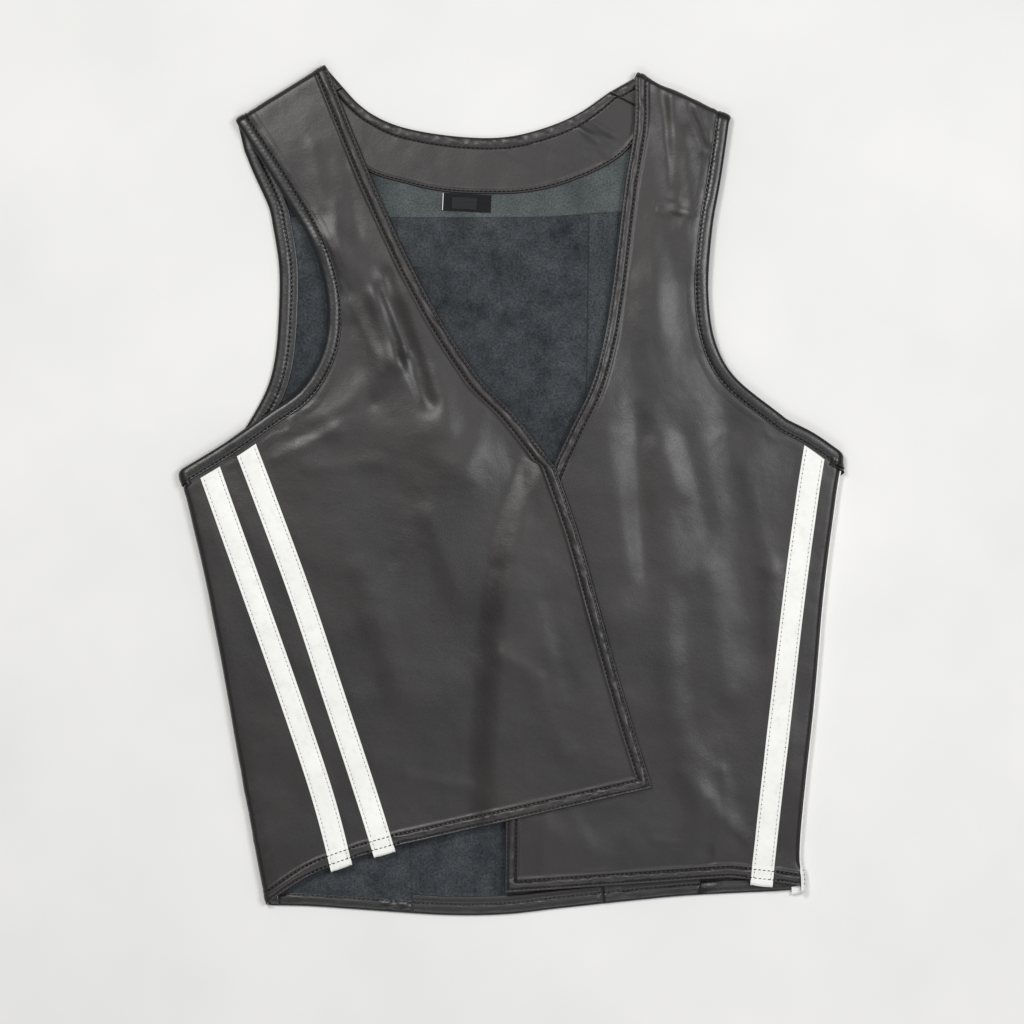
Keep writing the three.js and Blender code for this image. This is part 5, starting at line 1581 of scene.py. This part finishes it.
def bound_ring(front, back, yoke_columns):
    """The whole edge of an armhole: up the front, down the yoke and down the back to the side."""
    at, inside = yoke_columns
    back_first = int(np.argmax(~np.isnan(back.grid[:, 0, 0])))
    return binding_frames(
        edge_frames(front, panel_edge(front, front.first)),
        edge_frames(yoke, [(i, at, i, inside) for i in range(len(yoke.grid))], -1),
        edge_frames(back, panel_edge(back, back_first)[::-1], -1),
    )


bound = {
    "right": bound_ring(right_sheet, back_right_sheet, (0, 2)),
    "left": bound_ring(left_sheet, back_left_sheet, (-1, -3)),
}
for side, seed in (("right", 131), ("left", 141)):
    binding(f"binding_{side}_leather", f"armhole_binding_{side}", bound[side], seed)


# Threads
READ_STEP = 0.4


def resample(points, normals, pitch):
    """Places at an even pitch along a line, with its direction, its normals and the pitch itself."""
    along = lengths_along(points)
    count = max(int(along[-1] / pitch), 1)
    at = (np.arange(count) + 0.5) * along[-1] / count
    ahead, behind = (read_along(at + d, along, points) for d in (READ_STEP, -READ_STEP))
    places, up = read_along(at, along, points), unit(read_along(at, along, normals))
    return places, unit(ahead - behind), up, along[-1] / count


STITCH_RINGS = ((-1.0, 0.0), (-0.86, 0.62), (-0.45, 0.98), (0.45, 0.98), (0.86, 0.62), (1.0, 0.0))
STITCH_SIDES = 6
STITCH_RISE = 0.16
STITCH_SINK = 0.308


def stitches(lines, radius=THREAD_RADIUS, length=STITCH_LENGTH, rise=STITCH_RISE):
    """Points and faces of short thread stitches along lines of places and normals."""
    points, faces = [], []
    for line in lines:
        centres, tangents, normals, _ = resample(*line, STITCH_PITCH)
        sides = np.cross(normals, tangents)
        for c, t, n, s in zip(centres, tangents, normals, sides):
            base = len(points)
            for share, thick in STITCH_RINGS:
                middle = c + t * (share * length / 2) + n * (rise - STITCH_SINK * share**2)
                if thick == 0:
                    points.append(middle)
                    continue
                for k in range(STITCH_SIDES):
                    angle = 2 * math.pi * k / STITCH_SIDES
                    points.append(middle + (n * math.sin(angle) + s * math.cos(angle)) * radius * thick)
            ring = lambda r, k: base + 1 + (r - 1) * STITCH_SIDES + k % STITCH_SIDES
            rings = len(STITCH_RINGS) - 2
            last = base + 1 + rings * STITCH_SIDES
            for k in range(STITCH_SIDES):
                faces.append([base, ring(1, k + 1), ring(1, k)])
                for r in range(1, rings):
                    faces.append([ring(r, k), ring(r, k + 1), ring(r + 1, k + 1), ring(r + 1, k)])
                faces.append([ring(rings, k), ring(rings, k + 1), last])
    return points, faces


def thread_piece(name, lines, material, slot="black_leather", **sizes):
    points, faces = stitches(lines, **sizes)
    return wear(link(name, np.array(points), faces, [material]), slot)


def face_line(sheet, rows, columns, extra=0.0):
    """A line along a sheet's outer face, with its normals."""
    amount = (sheet.above[rows, columns] + extra)[:, None]
    return sheet.grid[rows, columns] + sheet.normals[rows, columns] * amount, sheet.normals[rows, columns]


def front_threads(name, sheet, stripes_on):
    lines = []
    rows, columns = sheet.grid.shape[:2]
    mask = stripe_mask(sheet, stripes_on)
    for d in (STITCH_OUTER, STITCH_INNER):
        back = EDGE_LINES[::-1].index(d) + 1
        column, row = columns - 1 - back, rows - 1 - back
        down = np.arange(SHOULDER_ROWS + 1, row + 1)
        lines.append(face_line(sheet, down, np.full(len(down), column)))
        over = np.arange(int(np.argmax(sheet.layer < 0.35)), column + 1)
        extra = np.where(mask[over] > 0, SEAM_GAP + STRIPE_THICK + 0.05, 0)
        extra = np.maximum.reduce([extra, np.roll(extra, 1), np.roll(extra, -1)])
        lines.append(face_line(sheet, np.full(len(over), row), over, extra))
    return thread_piece(name, lines, black_thread)


threads = {}
for side, sheet, stripes_on in (("right", right_sheet, right_stripes), ("left", left_sheet, left_stripes)):
    threads[f"front_{side}_leather"] = [front_threads(f"threads_front_{side}", sheet, stripes_on)]

for name, (obj, sheet, rows) in facings.items():
    along = np.arange(sheet.grid.shape[1])
    lines = [face_line(sheet, np.full(len(along), row), along) for row in rows]
    threads[obj.name] = [thread_piece("threads_facing_" + name, lines, black_thread)]

for side, (p, into, up, _) in bound.items():
    groove = p + into * BINDING_STITCH
    lines = [(closed(groove + up * face * BINDING_GROOVE), closed(up * face)) for face in (1, -1)]
    threads[f"binding_{side}_leather"] = [thread_piece(f"threads_binding_{side}", lines, black_thread)]

for side, sheet in back_sheets.items():
    row = sheet.grid.shape[0] - 1 - (BACK_HEM_LINES[::-1].index(BACK_HEM_STITCH) + 1)
    columns = np.arange(sheet.grid.shape[1])
    lines = [face_line(sheet, np.full(len(columns), row), columns)]
    threads[f"back_{side}_leather"] = [thread_piece(f"threads_back_{side}_hem", lines, black_thread)]


STRIPE_STITCHES = {"radius": 0.24, "length": 2.3, "rise": 0.06}
HOLE_SIDES = 8
HOLE_RADIUS = 0.6
HOLE_RISE = 0.06
HOLE_DEPTH = 0.3


def stripe_threads(name, on):
    """The stitches of a stripe, and dark discs in the holes between them: painted shade inside the needle holes."""
    rows = np.arange(0, on.body_rows - 3)
    lines = [face_line(on, rows, np.full(len(rows), column)) for column in on.stitch_columns]
    thread = thread_piece(name, lines, white_thread, "white_leather", **STRIPE_STITCHES)
    points, faces = [], []
    for line in lines:
        centres, tangents, normals, pitch = resample(*line, STITCH_PITCH)
        for c, t, n in zip(centres, tangents, normals):
            s = np.cross(n, t)
            base = len(points)
            hole = c + t * pitch / 2
            for k in range(HOLE_SIDES):
                angle = 2 * math.pi * k / HOLE_SIDES
                out = t * math.cos(angle) + s * math.sin(angle)
                points.append(hole + out * HOLE_RADIUS + n * HOLE_RISE)
            points.append(hole - n * HOLE_DEPTH)
            faces.append([base + k for k in range(HOLE_SIDES)])
            faces += [[base + (k + 1) % HOLE_SIDES, base + k, base + HOLE_SIDES] for k in range(HOLE_SIDES)]
    # the discs carry the painted shade of the needle holes
    holes = link(name.replace("threads", "holes"), np.array(points), faces, [hole_shade])
    return [thread, wear(holes, "white_leather")]


for key, on in stripes.items():
    threads[f"stripe_{key}_leather"] = stripe_threads(f"threads_stripe_{key}", on)


# Label and size tab
TAG_COLUMNS, TAG_ROWS = 41, 17
TAG_EDGE = 0.05
WHITE_END = 1
LABEL_BOW, TAB_BOW = 0.7, 0.5


def tag(name, node, spec, floor, bow, materials, region=None):
    """A small bowed cloth. The materials may have a third one, for the cells that the region names."""
    u = np.linspace(-0.5, 0.5, TAG_COLUMNS)
    v = np.linspace(0.5, -0.5, TAG_ROWS)
    turn = spec["turn"]
    across = np.array([math.cos(turn), math.sin(turn), 0])
    up = np.array([-math.sin(turn), math.cos(turn), 0])
    middle = np.array([spec["x"], spec["y"], floor + spec["thick"] / 2])
    grid = middle + across * (u * spec["width"])[None, :, None] + up * (v * spec["height"])[:, None, None]
    grid[..., 2] += bow * ((0.5 - v[:, None]) ** 2) * (0.6 + 0.4 * np.cos(3 * u)[None, :])
    sheet = Sheet(grid, -1, FAR, FAR)
    rim = np.minimum(0.5 - np.abs(u[None, :]), 0.5 - np.abs(v[:, None]))
    sheet.above = spec["thick"] / 2 + TAG_EDGE * (1 - ease(rim, 0.02, 0.06))
    sheet.under = np.full(rim.shape, spec["thick"] / 2)
    return wear(shell(name, sheet, materials, nose=TAG_NOSE, region=region), "label_cloth", node)


pieces["label_cloth"] = tag(
    "label_cloth", "neck_label", LABEL, FACING_FLOOR, LABEL_BOW, [label_cloth, label_cloth, white_thread],
    region=lambda i, j: (2 if j < WHITE_END else 0, 1),
)
tab_floor = FACING_FLOOR + LABEL["thick"] + SEAM_GAP
tab = tag("size_tab_cloth", "size_tab", SIZE_TAB, tab_floor, TAB_BOW, [tab_cloth, tab_cloth])


# Floor, lights and camera
PICTURE_MIDDLE = (2.25, -15.75)
PICTURE_SIDE = 768.0
LENS, SENSOR = 150.0, 36.0
SUBJECT_HEIGHT = 8.0
FLOOR_HALF, FLOOR_DROP = 6.0, 0.0005


def floor():
    mesh = bpy.data.meshes.new("floor")
    half = FLOOR_HALF
    corners = [(-half, -half, 0), (half, -half, 0), (half, half, 0), (-half, half, 0)]
    mesh.from_pydata(corners, [], [[0, 1, 2, 3]])
    obj = add_object("floor", mesh)
    obj.location.z = -FLOOR_DROP
    look = Look("floor_cloth", Roughness=0.9, Specular_IOR_Level=0.2)
    tone = look.ramp(look.noise(160, 3), (0.3, (0.77, 0.77, 0.75)), (0.7, (0.83, 0.825, 0.805)))
    look.set("Base Color", tone)
    mesh.materials.append(look.material)
    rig.stage(obj)


def area_light(name, place, target, size, power, colour=(1, 1, 1)):
    data = bpy.data.lights.new(name, "AREA")
    data.shape = "RECTANGLE"
    data.size, data.size_y = size
    data.energy = power
    data.color = colour
    obj = add_object(name, data)
    obj.location = place
    obj.rotation_euler = (Vector(target) - Vector(place)).to_track_quat("-Z", "Y").to_euler()
    obj.visible_camera = False


def camera():
    data = bpy.data.cameras.new("camera")
    data.lens, data.sensor_width = LENS, SENSOR
    obj = add_object("camera", data)
    x, y, _ = metres([*PICTURE_MIDDLE, 0.0])
    obj.location = (x, y, (SUBJECT_HEIGHT + PICTURE_SIDE * LENS / SENSOR) / 1000)
    bpy.context.scene.camera = obj


def studio():
    area_light("key_light", (-0.56, 0.74, 1.85), (0.0, 0.05, 0), (0.45, 0.45), 17, (1, 0.99, 0.97))
    area_light("side_light", (0.85, 0.24, 1.8), (0.1, 0, 0), (0.4, 0.7), 15, (0.98, 0.98, 1))
    area_light("low_light", (0.0, -1.0, 1.6), (0, 0, 0), (1.2, 0.45), 5.5, (0.98, 0.98, 1))
    area_light("soft_light", (-0.02, -0.12, 2.1), (0.0, 0.0, 0), (0.3, 0.3), 1.2, (0.97, 0.98, 1))
    world = bpy.data.worlds.new("studio")
    world.use_nodes = True
    world.node_tree.nodes["Background"].inputs["Color"].default_value = (0.97, 0.98, 1.0, 1)
    world.node_tree.nodes["Background"].inputs["Strength"].default_value = 0.28
    bpy.context.scene.world = world
    bpy.context.scene.view_settings.view_transform = "Standard"


floor()
studio()
camera()


# What shows of each piece as it was cut: width and length in metres, and what it lies on
def flat_area(obj):
    return sum(face.area for face in obj.data.polygons) / 2


BACK_PIECES = ["back_right_leather", "back_centre_leather", "back_left_leather"]
CUTS = {
    "front_right_leather": (0.39, 0.66, [*BACK_PIECES, "yoke_leather", "front_left_leather"]),
    "front_left_leather": (0.29, 0.65, [*BACK_PIECES, "yoke_leather"]),
    "yoke_leather": (0.372, 0.10, ["floor"]),
    "back_centre_leather": (0.168, 0.53, ["floor"]),
    "back_right_leather": (0.18, 0.53, ["floor"]),
    "back_left_leather": (0.20, 0.53, ["floor"]),
    "neck_facing_leather": (0.24, 0.09, ["yoke_leather"]),
    "facing_right_leather": (0.04, 0.02, ["front_right_leather"]),
    "facing_left_leather": (0.04, 0.025, ["front_left_leather"]),
    "label_cloth": (LABEL["width"] / 1000, LABEL["height"] / 1000, ["yoke_leather"]),
    "stripe_right_outer_leather": (0.0168, 0.35, ["front_right_leather"]),
    "stripe_right_inner_leather": (0.0168, 0.36, ["front_right_leather"]),
    "stripe_left_outer_leather": (0.0168, 0.35, ["front_left_leather"]),
    "stripe_left_inner_leather": (0.0168, 0.37, ["front_left_leather"]),
    "binding_right_leather": (0.027, 0.68, ["front_right_leather", "back_right_leather"]),
    "binding_left_leather": (0.027, 0.68, ["front_left_leather", "back_left_leather"]),
}
for name, (width, length, below) in CUTS.items():
    obj = pieces[name]
    area = min(flat_area(obj), width * length)
    going = threads.get(name, []) + ([tab] if name == "label_cloth" else [])
    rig.sheet(obj, flat=(width, length), held="laid", rests_on=below, area=area, with_pieces=going)

with open("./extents.json", "w") as file:
    json.dump({
        "cad": [list(corner) for corner in cad_box],
        "visual": [list(corner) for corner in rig.bounds()],
    }, file)
